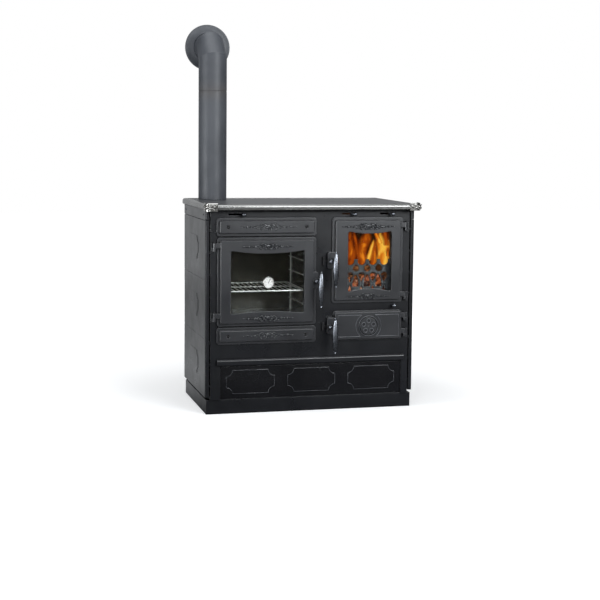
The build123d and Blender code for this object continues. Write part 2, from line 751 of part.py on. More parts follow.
def flue_pipe():
    tube = post(PIPE_X, PIPE_Y, PIPE_R, PLATE_TOP, PIPE_SEAM_Z)
    return tube - well(PIPE_X, PIPE_Y, PIPE_R - PIPE_WALL, PLATE_TOP, PIPE_SEAM_Z)


def elbow_core(radius):
    """A mitred quarter turn with one straight middle piece, then a run to the wall."""
    bend_y = PIPE_Y + FLUE_AXIS_Z - ELBOW_BEND_Z
    path = Polyline(
        (PIPE_X, PIPE_Y, PIPE_SEAM_Z),
        (PIPE_X, PIPE_Y, ELBOW_BEND_Z),
        (PIPE_X, bend_y, FLUE_AXIS_Z),
        (PIPE_X, WALL_Y, FLUE_AXIS_Z),
    )
    section = Plane(origin=(PIPE_X, PIPE_Y, PIPE_SEAM_Z)) * Circle(radius)
    return sweep(section, path, transition=Transition.RIGHT)


def flue_elbow():
    """The elbow, with a sleeve that slips down inside the pipe and a narrowed end for the wall."""
    fit = PIPE_R - PIPE_WALL
    elbow = elbow_core(PIPE_R) - elbow_core(fit)
    low = PIPE_SEAM_Z - SPIGOT_H
    sleeve = post(PIPE_X, PIPE_Y, fit - SPIGOT_CLEAR, low, PIPE_SEAM_Z)
    sleeve += post(PIPE_X, PIPE_Y, fit, PIPE_SEAM_Z, PIPE_SEAM_Z + PIPE_WALL)
    sleeve -= well(PIPE_X, PIPE_Y, fit - PIPE_WALL, low, PIPE_SEAM_Z + PIPE_WALL)
    tail = disc(PIPE_X, FLUE_AXIS_Z, fit, WALL_Y - PIPE_WALL, PIPE_TAIL + PIPE_WALL)
    tail -= bore(PIPE_X, FLUE_AXIS_Z, fit - PIPE_WALL, WALL_Y - PIPE_WALL, PIPE_TAIL + PIPE_WALL)
    return elbow + sleeve + tail


def wall_rosette():
    """The dished trim ring round the pipe where it enters the wall."""
    hole = PIPE_R + SPIGOT_CLEAR
    neck = hole + ROSETTE_T
    rim = ROSETTE_R
    waist, brim = ROSETTE_DEPTH / 2, ROSETTE_DEPTH / 3
    outside = [(hole, 0), (hole, ROSETTE_DEPTH), (neck, ROSETTE_DEPTH), (neck + ROSETTE_T, waist)]
    outside += [(rim - 3 * ROSETTE_T, brim), (rim, 0), (rim - ROSETTE_T, 0)]
    inside = [(rim - 4 * ROSETTE_T, brim - ROSETTE_T), (neck, waist - ROSETTE_T), (neck, 0)]
    ring = revolve(Plane.XZ * make_face(Polyline(*outside, *inside, close=True)), Axis.Z)
    return facing(PIPE_X, WALL_Y, FLUE_AXIS_Z) * ring


def flue_duct():
    """The riser behind the oven, with the start-up port in its front wall and rails for the damper."""
    x0, x1 = PIPE_X - DUCT_HALF_W, PIPE_X + DUCT_HALF_W
    duct = block(x0, x1, DUCT_FRONT, DUCT_BACK, DUCT_FOOT_Z, PLATE_FOOT)
    duct -= block(x0 + SHEET, x1 - SHEET, DUCT_FRONT + SHEET, DUCT_BACK - SHEET, DUCT_FOOT_Z, PLATE_FOOT)
    port = upright(Pos(PORT_X, PORT_Z) * RectangleRounded(PORT_W, PORT_H, 4), DUCT_FRONT, SHEET)
    duct -= port
    foot, top = damper_heights()
    slot = SHEET + 2 * GUIDE_CLEAR
    for z, lip in ((foot - GUIDE_CLEAR, -1), (top + GUIDE_CLEAR, 1)):
        shelf = sorted((z, z + lip * SHEET))
        duct += block(x0, x1, DUCT_FRONT - slot - SHEET, DUCT_FRONT, shelf[0], shelf[1])
        hook = sorted((z + lip * SHEET, z - lip * SHEET * 1.5))
        duct += block(x0, x1, DUCT_FRONT - slot - SHEET, DUCT_FRONT - slot, hook[0], hook[1])
    return duct


# ---- covers ----
def cover_holes():
    holes = []
    for x0, x1, z0, z1 in (UPPER_COVER, LOWER_COVER):
        for x in (x0 + COVER_HOLE_INSET, x1 - COVER_HOLE_INSET):
            holes.append((x, (z0 + z1) / 2))
    return holes


def cast_leaf(edges, flange_w, back):
    """A hollow casting: a thin flange all round and a raised face with a softened edge."""
    leaf = upright(panel(edges, 0, FLANGE_R), back - FLANGE_T, FLANGE_T)
    face_front = back - FLANGE_T - FACE_RISE
    face = upright(panel(edges, flange_w, FACE_R), face_front, FLANGE_T + FACE_RISE)
    leaf += chamfer(front_edges(face, face_front), FACE_EDGE)
    hollow = panel(edges, flange_w + LEAF_SKIN)
    return leaf - upright(hollow, face_front + LEAF_SKIN, FLANGE_T + FACE_RISE - LEAF_SKIN)


def cover(edges):
    """A screwed cover: a cast leaf flat on the front frame, with a pad round each countersunk hole."""
    leaf = cast_leaf(edges, FLANGE_W, FRONT)
    face_front = FRONT - FLANGE_T - FACE_RISE
    for x, z in cover_holes():
        if edges[2] < z < edges[3]:
            pad = Rectangle(2 * COVER_HEAD_R + 4, 2 * COVER_HEAD_R + 4)
            leaf += upright(Pos(x, z) * pad, face_front + LEAF_SKIN, FLANGE_T + FACE_RISE - LEAF_SKIN)
            leaf -= bore(x, z, COVER_SCREW_R + 0.5, face_front, FLANGE_T + FACE_RISE)
            leaf -= bore(x, z, COVER_HEAD_R, face_front, LEAF_SKIN)
    return leaf


def cover_screws():
    """Cheese-head screws, sunk in the covers."""
    face_front = FRONT - FLANGE_T - FACE_RISE
    head_front = face_front + LEAF_SKIN * 0.3
    screws = []
    for x, z in cover_holes():
        head = disc(x, z, COVER_HEAD_R - 0.3, head_front, LEAF_SKIN * 0.7)
        shank = disc(x, z, COVER_SCREW_R - 0.1, head_front, FRAME_BACK - head_front + 4)
        slot = block(x - COVER_HEAD_R, x + COVER_HEAD_R, head_front, head_front + 1.5, z - 0.8, z + 0.8)
        screws.append(head + shank - slot)
    return Compound(screws)


# ---- doors ----
def hinge_side(edges, side):
    """The X of a door's hinge pins, beside its flange."""
    return edges[0] - HINGE_OFFSET if side < 0 else edges[1] + HINGE_OFFSET


def door_ears(edges, side, heights):
    """The knuckles cast on the door, one above each frame ear."""
    x = hinge_side(edges, side)
    ears = None
    for z in heights:
        ear = post(x, HINGE_Y, KNUCKLE_R, z, z + DOOR_EAR_H)
        arm = sorted((x, x - side * (HINGE_OFFSET + FLANGE_W)))
        ear += block(arm[0], arm[1], FACE_FRONT + FACE_EDGE, HINGE_Y + KNUCKLE_R * 0.7, z, z + DOOR_EAR_H)
        ear -= well(x, HINGE_Y, PIN_R + PIN_CLEAR, z, z + DOOR_EAR_H)
        ears = ear if ears is None else ears + ear
    return ears


def handle_lug(edges, flange_w, place):
    """The upright lug that joins the raised face, with the boss that the handle shaft turns in."""
    x, z = place
    x0, x1 = x - LUG_HALF_W, x + LUG_HALF_W
    if x < edges[0]:
        x1 = edges[0] + flange_w + LUG_LAP
    else:
        x0 = min(x0, edges[1] - flange_w - LUG_LAP)
    slab = upright(panel((x0, x1, z - LUG_DOWN, z + LUG_UP), 0, LUG_R), FACE_FRONT, LUG_BACK - FACE_FRONT)
    slab += disc(x, z, BOSS_R, BOSS_FRONT, LUG_BACK - BOSS_FRONT)
    return slab


def tongue_sweep(place, side):
    """The room that the latch tongue needs behind the lug, from level to straight down."""
    x, z = place
    span = sorted((x - side * (SHAFT_R + GLASS_CLEAR), x + side * (TONGUE_LEN + 2)))
    top = z + TONGUE_W / 2 + GLASS_CLEAR
    return block(span[0], span[1], LUG_BACK, LEAF_BACK, z - TONGUE_LEN - 2, top)


def door_leaf(edges, flange_w, side, heights, handle):
    """A cast leaf with its hinge ears and handle lug. The hinges are on the given side."""
    leaf = cast_leaf(edges, flange_w, LEAF_BACK)
    leaf += door_ears(edges, side, heights)
    leaf += handle_lug(edges, flange_w, handle)
    leaf -= tongue_sweep(handle, -side)
    return leaf - bore(*handle, SHAFT_R + SHAFT_CLEAR, BOSS_FRONT, LEAF_BACK - BOSS_FRONT)


def seal_ring(edges, inset, width):
    outer = panel(edges, inset, FLANGE_R - inset / 2)
    return outer - panel(edges, inset + width, FACE_R)


def window_door(edges, window, bow, side, heights, handle):
    """A glazed door: the leaf with its bowed window, a seal channel and four pads for the glass frame."""
    leaf = door_leaf(edges, FLANGE_W, side, heights, handle)
    opening = bowed_window(window, bow)
    leaf -= upright(opening, FACE_FRONT, LEAF_SKIN)
    channel = seal_ring(edges, SEAL_INSET, SEAL_W)
    leaf -= upright(channel, LEAF_BACK - SEAL_DEPTH, SEAL_DEPTH)
    for x, z in retainer_pads(window):
        leaf += upright(Pos(x, z) * Rectangle(PAD_W, PAD_W), SKIN_BACK, GLASS_BACK - SKIN_BACK + GLASS_CLEAR)
    return leaf


def retainer_pads(window):
    x0, x1, z0, z1 = window
    out = GLASS_MARGIN + 6
    mid = (z0 + z1) / 2
    reach = (z1 - z0) / 4
    return [(x, z) for x in (x0 - out, x1 + out) for z in (mid - reach, mid + reach)]


def door_seal(edges):
    ring = seal_ring(edges, SEAL_INSET + 0.2, SEAL_W - 0.4)
    return upright(ring, LEAF_BACK - SEAL_DEPTH, SEAL_T)


def door_glass(window):
    pane = panel(window, -GLASS_MARGIN)
    return upright(pane, GLASS_FRONT, GLASS_T)


def glass_frame(window):
    """The folded frame that holds the pane against the casting, with an ear over each pad."""
    outer = panel(window, -GLASS_MARGIN)
    inner = panel(window, RETAINER_W - GLASS_MARGIN)
    ring = outer - inner
    for x, z in retainer_pads(window):
        toward = 1 if x < window[0] else -1
        ring += Pos(x + toward * PAD_W / 4, z) * Rectangle(1.7 * PAD_W, 1.2 * PAD_W)
    return upright(ring, GLASS_BACK + GLASS_CLEAR, RETAINER_T)


def oven_door_leaf():
    return window_door(OVEN_DOOR, OVEN_WINDOW, OVEN_WINDOW_BOW, -1, OVEN_HINGES_Z, OVEN_HANDLE)


def fire_door_leaf():
    return window_door(FIRE_DOOR, FIRE_WINDOW, FIRE_WINDOW_BOW, 1, FIRE_HINGES_Z, FIRE_HANDLE)


def oven_door_glass():
    pane = door_glass(OVEN_WINDOW)
    return pane - bore(DIAL_X, DIAL_Z, STEM_HOLE_R + 0.5, GLASS_FRONT, GLASS_T)


def petals(turn):
    """The ring of air holes, turned by an angle in degrees."""
    holes = None
    for n in range(PETALS):
        angle = radians(90 + turn + 360 * n / PETALS)
        place = Pos(MEDAL_X + PETAL_PITCH_R * cos(angle), MEDAL_Z + PETAL_PITCH_R * sin(angle))
        spot = place * round_outline(PETAL_R)
        holes = spot if holes is None else holes + spot
    return holes


def ash_door_leaf():
    """The solid door of the ash box: raised borders, a round medallion and air holes behind the rosette."""
    leaf = door_leaf(ASH_DOOR, ASH_FLANGE_W, 1, ASH_HINGES_Z, ASH_HANDLE)
    border = panel(ASH_DOOR, BORDER_INSET, 3) - Pos(MEDAL_X, MEDAL_Z) * Circle(BORDER_SCOOP_R)
    border -= Pos(*ASH_HANDLE) * Rectangle(3.4 * BORDER_INSET, 4 * BORDER_INSET)
    leaf += upright(border, FACE_FRONT - BORDER_RISE, BORDER_RISE)
    rim = Circle(MEDAL_R) - Circle(DISC_R + DISC_CLEAR)
    leaf += upright(Pos(MEDAL_X, MEDAL_Z) * rim, FACE_FRONT - DISC_T, DISC_T)
    leaf -= upright(petals(180 / PETALS), FACE_FRONT, LEAF_SKIN)
    leaf += disc(MEDAL_X, MEDAL_Z, ROSETTE_PIN_R, FACE_FRONT - DISC_T - 1, DISC_T + 1)
    return leaf


def air_rosette():
    front = FACE_FRONT - DISC_T - SEAT_CLEAR
    wheel = disc(MEDAL_X, MEDAL_Z, DISC_R, front, DISC_T)
    wheel -= upright(petals(0), front, DISC_T)
    return wheel - bore(MEDAL_X, MEDAL_Z, ROSETTE_PIN_R + PIN_CLEAR, front, DISC_T)


# ---- hinges and latches ----
def hinge_sets():
    """Each hinge as its pin's X, its side and the foot of the door's ear."""
    sets = [(OVEN_DOOR, -1, OVEN_HINGES_Z), (FIRE_DOOR, 1, FIRE_HINGES_Z), (ASH_DOOR, 1, ASH_HINGES_Z)]
    return [(hinge_side(edges, side), side, z) for edges, side, heights in sets for z in heights]


def hinge_brackets():
    """A plate on the frame beside each hinge, with the ear that carries the pin."""
    brackets = []
    for x, side, z in hinge_sets():
        top = z - EAR_GAP
        foot = top - FRAME_EAR_H
        ear = post(x, HINGE_Y, KNUCKLE_R, foot, top)
        arm = sorted((x, x + side * (KNUCKLE_R + 2)))
        ear += block(arm[0], arm[1], HINGE_Y - KNUCKLE_R * 0.6, FRONT, foot, top)
        plate = sorted((x + side * (KNUCKLE_R - 2), x + side * (KNUCKLE_R - 2 + BRACKET_W)))
        ear += block(plate[0], plate[1], FRONT - BRACKET_T, FRONT, foot - 6, z + DOOR_EAR_H)
        brackets.append(ear - post(x, HINGE_Y, PIN_R, foot, top))
    return Compound(brackets)


def hinge_pins():
    """Pins fixed in the frame ears, with a ball head over the door's ear."""
    pins = []
    for x, side, z in hinge_sets():
        foot = z - EAR_GAP - FRAME_EAR_H
        top = z + DOOR_EAR_H + EAR_GAP
        head = ball_profile(PIN_HEAD_R, (-20, 20, 60), top + PIN_HEAD_R / 2)
        pins.append(Pos(x, HINGE_Y) * turned((PIN_R, foot), (PIN_R, top), *head))
    return Compound(pins)


def latch_sides():
    """Each handle with the side that its tongue points to."""
    return [(OVEN_HANDLE, 1), (FIRE_HANDLE, -1), (ASH_HANDLE, -1)]


def latch_keepers():
    """The bevelled blocks on the frame that the tongues wedge against."""
    keepers = []
    for (x, z), side in latch_sides():
        near = x + side * (TONGUE_LEN + KEEPER_GAP)
        span = sorted((near, near + side * KEEPER_W))
        keeper = block(span[0], span[1], FRONT - KEEPER_OUT, FRONT, z - KEEPER_H / 2, z + KEEPER_H / 2)
        keepers.append(chamfer(front_edges(keeper, FRONT - KEEPER_OUT), 1.5))
    return Compound(keepers)


# ---- handles ----
def handle_shaft(place, side):
    """The steel shaft with its latch tongue behind the lug and the arm that carries the grip."""
    x, z = place
    nut_seat = BOSS_FRONT - GLASS_CLEAR - ARM_W
    shaft = disc(x, z, SHAFT_R, nut_seat - NUT_H * 0.6, TONGUE_BACK - nut_seat + NUT_H * 0.6)
    tongue = sorted((x, x + side * TONGUE_LEN))
    shaft += block(tongue[0], tongue[1], TONGUE_FRONT, TONGUE_BACK, z - TONGUE_W / 2, z + TONGUE_W / 2)
    shaft += disc(x, z, NUT_R + 1, nut_seat, ARM_W)
    arm_z = z + GRIP_UP / 4
    peg_x = x + GRIP_SIDE
    ends = (Pos(x, z) * Circle(NUT_R)).edges() + (Pos(peg_x, arm_z) * Circle(ARM_W / 2)).edges()
    shaft += upright(make_hull(ends), nut_seat, ARM_W)
    return shaft + bar((peg_x, nut_seat + 1, arm_z), (peg_x, GRIP_Y, arm_z), PEG_R)


def handle_grip(place):
    """The chrome spindle grip with its tips, and the domed nut on the shaft."""
    x, z = place
    top = GRIP_UP
    foot = GRIP_UP - GRIP_LEN
    tip = GRIP_TIP_R + GRIP_TIP_BULGE
    profile = ball_profile(tip, (-60, -20), foot)
    for n in range(1, GRIP_BANDS):
        along_grip = n / GRIP_BANDS
        swell = 1 - (2 * along_grip - 1) ** 2
        profile.append((GRIP_TIP_R + (GRIP_R - GRIP_TIP_R) * swell, foot + GRIP_LEN * along_grip))
    profile += ball_profile(tip, (20, 60), top)
    grip = Pos(x + GRIP_SIDE, GRIP_Y, z) * turned(*profile)
    arm_z = z + GRIP_UP / 4
    grip -= bore(x + GRIP_SIDE, arm_z, PEG_R + SHAFT_CLEAR, GRIP_Y, 2 * GRIP_R)
    seat = BOSS_FRONT - GLASS_CLEAR - ARM_W
    dome = turned((NUT_R, 0), (NUT_R, NUT_H * 0.5), *ball_profile(NUT_R, (40, 70), NUT_H * 0.3))
    nut = facing(x, seat, z) * dome
    nut -= bore(x, z, SHAFT_R + SHAFT_CLEAR, seat - NUT_H * 0.6, NUT_H * 0.6)
    return Compound([grip, nut])


# ---- sliders, shaker and grate ----
def knob(x, z, stem_r):
    """A ball knob with a short neck on a stem."""
    neck = KNOB_R * 0.62
    back = -KNOB_R - KNOB_NECK
    ball = turned((neck, back), *ball_profile(KNOB_R, (-51, -12, 28, 66)))
    return facing(x, KNOB_Y, z) * ball - disc(x, z, stem_r, KNOB_Y, -back)


def air_slide(x):
    """A flat shutter behind the frame with its stem through the slot, and the knob."""
    front = FRAME_BACK + GUIDE_CLEAR
    shutter = block(x - STEM_R * 2, x - STEM_R * 2 + SHUTTER_W, front, front + SHEET,
                    SLIDER_Z - SHUTTER_H / 2, SLIDER_Z + SHUTTER_H / 2)
    shutter += disc(x, SLIDER_Z, STEM_R, KNOB_Y, front - KNOB_Y)
    return Compound([shutter, knob(x, SLIDER_Z, STEM_R)])


def air_guide():
    """The folded channel behind the frame that both air shutters run in."""
    x0 = AIR_X[0] - AIR_TRAVEL - 4 * STEM_R
    x1 = AIR_X[1] + SHUTTER_W
    x1 = min(x1, CORE_W - SHEET)
    depth = SHEET + 2 * GUIDE_CLEAR
    foot = SLIDER_Z - SHUTTER_H / 2 - GUIDE_CLEAR
    top = SLIDER_Z + SHUTTER_H / 2 + GUIDE_CLEAR
    guide = block(x0, x1, FRAME_BACK, FRAME_BACK + depth + SHEET, foot - SHEET, top + SHEET)
    guide -= block(x0, x1, FRAME_BACK, FRAME_BACK + depth, foot, top)
    for x in AIR_X:
        guide -= block(x - AIR_TRAVEL, x - 4 * STEM_R, FRAME_BACK, FRAME_BACK + depth + SHEET,
                       SLIDER_Z - SLOT_H / 2, SLIDER_Z + SLOT_H / 2)
    return guide


def damper_heights():
    return PORT_Z - PORT_H / 2 - 6, SLIDER_Z + 2 * STEM_R


def bypass_damper():
    """The start-up damper: a plate over the port, its long rod over the oven, and the knob."""
    foot, top = damper_heights()
    back = DUCT_FRONT - GUIDE_CLEAR
    x0 = PORT_X - PORT_W / 2 - DAMPER_LAP
    plate = block(x0, x0 + DAMPER_W, back - SHEET, back, foot, top)
    plate += disc(BYPASS_X, SLIDER_Z, STEM_R, KNOB_Y, back - KNOB_Y)
    return Compound([plate, knob(BYPASS_X, SLIDER_Z, STEM_R)])


def grate_frame():
    """The cast firebox floor with a pocket that the grate shuffles in."""
    x0, x1 = FIRE_LEFT - BRICK_T, FIRE_RIGHT + BRICK_T
    z0, z1 = GRATE_FRAME_Z, GRATE_FRAME_Z + GRATE_FRAME_T
    plate = block(x0, x1, FRAME_BACK, FIRE_BACK + BRICK_T, z0, z1)
    half_w = GRATE_W / 2
    mid = (FIRE_LEFT + FIRE_RIGHT) / 2
    y0, y1 = GRATE_Y - GRATE_L / 2, GRATE_Y + GRATE_L / 2
    pocket_front = y0 - SHAKER_TRAVEL - GRATE_LIP
    clear = GRATE_LIP / 2
    plate -= block(mid - half_w - clear, mid + half_w + clear, pocket_front, y1 + clear, z0 + GRATE_LIP, z1)
    seat = GRATE_SEAT
    x0, x1 = mid - half_w + seat, mid + half_w - seat
    return plate - block(x0, x1, pocket_front + seat / 2, y1 - seat, z0, z1)


def grate():
    mid = (FIRE_LEFT + FIRE_RIGHT) / 2
    y0, y1 = GRATE_Y - GRATE_L / 2, GRATE_Y + GRATE_L / 2
    foot = GRATE_FRAME_Z + GRATE_LIP + DRAWER_SEAT
    plate = block(mid - GRATE_W / 2, mid + GRATE_W / 2, y0, y1, foot, foot + GRATE_T)
    pitch = (GRATE_W - 2 * GRATE_SEAT) / GRATE_BARS
    for n in range(GRATE_BARS):
        x = mid + (n - (GRATE_BARS - 1) / 2) * pitch
        plate -= Pos(x, GRATE_Y, foot) * extrude(Rectangle(pitch / 2, GRATE_L - 2 * GRATE_RIM), GRATE_T)
    return plate


def shaker_rod():
    """The pull rod under the grate, bent across to it, with its knob."""
    mid = (FIRE_LEFT + FIRE_RIGHT) / 2
    hook_y = GRATE_Y - GRATE_L / 2 + GRATE_SEAT
    front = (SHAKER_X, KNOB_Y, SHAKER_Z)
    path = FilletPolyline(front, (SHAKER_X, hook_y, SHAKER_Z), (mid, hook_y, SHAKER_Z), radius=3 * SHAKER_R)
    rod = sweep(Plane(origin=front, z_dir=(0, 1, 0)) * round_outline(SHAKER_R), path)
    rod += post(mid, hook_y, SHAKER_R - 0.5, SHAKER_Z, GRATE_FRAME_Z + GRATE_LIP + DRAWER_SEAT)
    return Compound([rod, knob(SHAKER_X, SHAKER_Z, SHAKER_R)])


# ---- oven ----
def oven_box():
    x0, x1, z0, z1 = OVEN_OPENING
    w = OVEN_WALL
    box = block(x0 - w, x1 + w, FRAME_BACK, OVEN_BACK + w, z0 - w, z1 + w)
    f = OVEN_FLANGE
    box += block(x0 - f, x1 + f, FRAME_BACK, FRAME_BACK + w, z0 - f, z1 + f)
    return box - block(x0, x1, FRAME_BACK, OVEN_BACK, z0, z1)


def ladder(side):
    """Two wire posts with rungs that stand off the oven wall."""
    wall = OVEN_OPENING[0] if side < 0 else OVEN_OPENING[1]
    post_x = wall - side * LADDER_R
    rung_x = wall - side * RUNG_INSET
    rung_front, rung_back = LADDER_POSTS_Y[0] - RUNG_OVERHANG, LADDER_POSTS_Y[1] + RUNG_OVERHANG
    z0, z1 = OVEN_OPENING[2], OVEN_OPENING[3]
    wires = None
    for y in LADDER_POSTS_Y:
        upright_wire = wire((post_x, y, z0), (post_x, y, z1), LADDER_R)
        wires = upright_wire if wires is None else wires + upright_wire
    for z in LADDER_RUNGS_Z:
        wires += wire((rung_x, rung_front, z), (rung_x, rung_back, z), LADDER_R)
    return wires


def oven_ladders():
    return Compound([ladder(-1), ladder(1)])


def oven_rack():
    """The wire shelf: a frame rod with rounded corners, close cross wires on top and one brace below."""
    x0, x1 = OVEN_OPENING[0] + RACK_INSET, OVEN_OPENING[1] - RACK_INSET
    y0, y1 = RACK_FRONT, OVEN_BACK - 6
    reach = LADDER_R + RACK_FRAME_R + DRAWER_SEAT
    z = LADDER_RUNGS_Z[RACK_RUNG] + sqrt(reach**2 - (RACK_INSET - RUNG_INSET) ** 2)
    mid_x, mid_y = (x0 + x1) / 2, (y0 + y1) / 2
    loop = (Pos(mid_x, mid_y, z) * RectangleRounded(x1 - x0, y1 - y0, RACK_CORNER_R)).wire()
    start = Plane(origin=(mid_x, y0, z), x_dir=(0, 1, 0), z_dir=(1, 0, 0))
    rack = sweep(start * RegularPolygon(RACK_FRAME_R, 6), loop)
    pitch = (x1 - x0) / (RACK_WIRES + 1)
    wire_z = z + RACK_FRAME_R - RACK_WIRE_R * 0.4
    for n in range(1, RACK_WIRES + 1):
        x = x0 + n * pitch
        rack += wire((x, y0, wire_z), (x, y1, wire_z), RACK_WIRE_R)
    rack += wire((x0, mid_y, z), (x1, mid_y, z), RACK_FRAME_R * 0.8)
    return rack


# ---- thermometer ----
def thermometer_case():
    """The bright cup in front of the pane, its stem through the glass and the nut behind."""
    front = GLASS_FRONT - GLASS_CLEAR - CASE_H
    cup = disc(DIAL_X, DIAL_Z, CASE_R, front, CASE_H)
    cup = chamfer(front_edges(cup, front), CASE_WALL * 0.5)
    cup -= bore(DIAL_X, DIAL_Z, CASE_R - CASE_WALL, front, CASE_H - CASE_WALL)
    cup += disc(DIAL_X, DIAL_Z, STEM_HOLE_R, front + CASE_H - CASE_WALL, GLASS_T + 8)
    cup += disc(DIAL_X, DIAL_Z, STEM_HOLE_R + 4, GLASS_BACK + GLASS_CLEAR, 3.5)
    return cup


def thermometer_dial():
    front = GLASS_FRONT - GLASS_CLEAR - CASE_WALL - DIAL_T
    plate = disc(DIAL_X, DIAL_Z, CASE_R - CASE_WALL - 0.2, front, DIAL_T)
    return plate + disc(DIAL_X, DIAL_Z, DIAL_PIN_R, front - 4, 4)


def thermometer_needle():
    front = GLASS_FRONT - GLASS_CLEAR - CASE_WALL - DIAL_T - 2.4
    hub = round_outline(NEEDLE_HUB_R)
    arm = Rot(0, 0, 60) * Pos(NEEDLE_LEN / 2 - 1.5, 0) * Rectangle(NEEDLE_LEN + 3, NEEDLE_W)
    flat = hub + arm - bore_outline(DIAL_PIN_R + PIN_CLEAR)
    return upright(Pos(DIAL_X, DIAL_Z) * flat, front, 0.8)


# ---- firebox ----
def firebricks():
    """Bricks in even courses on the left, right and back of the fire."""
    z0 = GRATE_FRAME_Z + GRATE_FRAME_T
    course = (BRICK_TOP - z0) / BRICK_ROWS
    bricks = []
    y0 = FRAME_BACK
    for row in range(BRICK_ROWS):
        foot, top = z0 + row * course, z0 + (row + 1) * course
        bricks.append(block(FIRE_LEFT - BRICK_T, FIRE_LEFT, y0, FIRE_BACK, foot, top))
        bricks.append(block(FIRE_RIGHT, FIRE_RIGHT + BRICK_T, y0, FIRE_BACK, foot, top))
        x0, x1 = FIRE_LEFT - BRICK_T, FIRE_RIGHT + BRICK_T
        bricks.append(block(x0, x1, FIRE_BACK, FIRE_BACK + BRICK_T, foot, top))
    return Compound([chamfer(b.edges().filter_by(Axis.Y), 1.5) for b in bricks])


def lancet(x, foot, width, height):
    """A pointed arch opening."""
    half = width / 2
    spring = foot + height * 0.35
    shoulder = (half * 0.62, spring + height * 0.36)
    return make_face([
        Line((x - half, foot), (x + half, foot)),
        Line((x + half, foot), (x + half, spring)),
        ThreePointArc((x + half, spring), (x + shoulder[0], shoulder[1]), (x, foot + height)),
        ThreePointArc((x, foot + height), (x - shoulder[0], shoulder[1]), (x - half, spring)),
        Line((x - half, spring), (x - half, foot)),
    ])


def drop(x, round_z, radius, point_z):
    """A drop-shaped opening: a round end drawn out to a point above or below it."""
    round_end = Pos(x, round_z) * round_outline(radius)
    tip = Pos(x, point_z) * round_outline(GUARD_POINT_R)
    return make_hull(round_end.edges() + tip.edges())


def fire_guard():
    """The cast guard behind the fire door: flat-topped posts with a drop in each, deep dips between them,
    pointed arches under the posts and hanging drops between the arches."""
    x0, x1 = FIRE_LEFT + 1, FIRE_RIGHT - 1
    foot = GRATE_FRAME_Z + GRATE_FRAME_T
    posts = [GUARD_X + n * GUARD_PITCH for n in (-2, -1, 0, 1, 2)]
    gaps = [x + GUARD_PITCH / 2 for x in posts[:-1]]
    sheet = Pos((x0 + x1) / 2, (foot + GUARD_TOP) / 2) * Rectangle(x1 - x0, GUARD_TOP - foot)
    dip_r = (GUARD_PITCH - GUARD_POST_W) / 2
    dip_z = GUARD_BAND_TOP + dip_r
    for x in [posts[0] - GUARD_PITCH / 2, *gaps, posts[-1] + GUARD_PITCH / 2]:
        sheet -= Pos(x, dip_z) * Circle(dip_r)
        sheet -= Pos(x, (dip_z + GUARD_TOP) / 2) * Rectangle(2 * dip_r, GUARD_TOP - dip_z)
    for x in posts:
        sheet -= drop(x, GUARD_BAND_TOP - 2 * GUARD_DROP_R, GUARD_DROP_R, GUARD_BAND_TOP + GUARD_DROP_R / 2)
        sheet -= lancet(x, GUARD_ARCH_FOOT, GUARD_ARCH_W, GUARD_ARCH_H)
    for x in gaps:
        sheet -= drop(x, GUARD_BAND_LOW - GUARD_HANG_R, GUARD_HANG_R, GUARD_ARCH_FOOT + GUARD_HANG_R)
        sheet -= lancet(x, GUARD_SILL, GUARD_ARCH_W / 2, GUARD_ARCH_FOOT - GUARD_SILL)
    return upright(sheet, GUARD_Y, GUARD_T)


# ---- ash box ----
def ash_chamber():
    """The sheet chute from the grate down to the floor that the pan slides on."""
    x0, x1, z0, z1 = ASH_OPENING
    box = block(x0 - SHEET, x1 + SHEET, FRAME_BACK, ASH_BACK + SHEET, z0 - SHEET, GRATE_FRAME_Z)
    return box - block(x0, x1, FRAME_BACK, ASH_BACK, z0, GRATE_FRAME_Z)


def ash_pan():
    """A folded pan with a pull strip on its front wall."""
    x0, x1, z0, z1 = ASH_OPENING
    left, right = x0 + PAN_CLEAR, x1 - PAN_CLEAR
    foot = z0 + DRAWER_SEAT
    pan = block(left, right, PAN_FRONT, ASH_BACK - PAN_CLEAR, foot, foot + PAN_H)
    pan -= block(left + PAN_WALL, right - PAN_WALL, PAN_FRONT + PAN_WALL, ASH_BACK - PAN_CLEAR - PAN_WALL,
                 foot + PAN_WALL, foot + PAN_H)
    mid = (left + right) / 2
    z = foot + PAN_H * 0.6
    ring = SlotOverall(PULL_W, PULL_H) - SlotOverall(PULL_W - PULL_H, PULL_H / 2)
    pull = upright(Pos(mid, z) * ring, PAN_FRONT - PULL_OUT, PULL_OUT / 2)
    reach = (PULL_W - PULL_H / 2) / 2
    for x in (mid - reach, mid + reach):
        pull += disc(x, z, PULL_H / 6, PAN_FRONT - PULL_OUT * 0.6, PULL_OUT * 0.6 + PAN_WALL / 2)
    return pan + pull


# ---- wood drawer ----
def drawer_front():
    """The stamped front: three scooped cartouches on a sheet with folded sides."""
    edges = (DRAWER_OPENING[0], DRAWER_OPENING[1], DRAWER_OPENING[2] + SHEET, DRAWER_OPENING[3])
    front = upright(panel(edges, DRAWER_CLEAR, 2), DRAWER_FACE, DRAWER_RETURN)
    hollow = panel(edges, DRAWER_CLEAR + SHEET)
    front -= upright(hollow, DRAWER_FACE + DRAWER_SKIN, DRAWER_RETURN)
    mid = (edges[0] + edges[1]) / 2 - 2
    z = (edges[2] + edges[3]) / 2 + 2
    for n in (-1, 0, 1):
        stamp = Pos(mid + n * CARTOUCHE_PITCH, z) * scooped(CARTOUCHE_W, CARTOUCHE_H, SCOOP_R)
        front += upright(stamp, DRAWER_FACE - CARTOUCHE_RISE, CARTOUCHE_RISE)
    return front


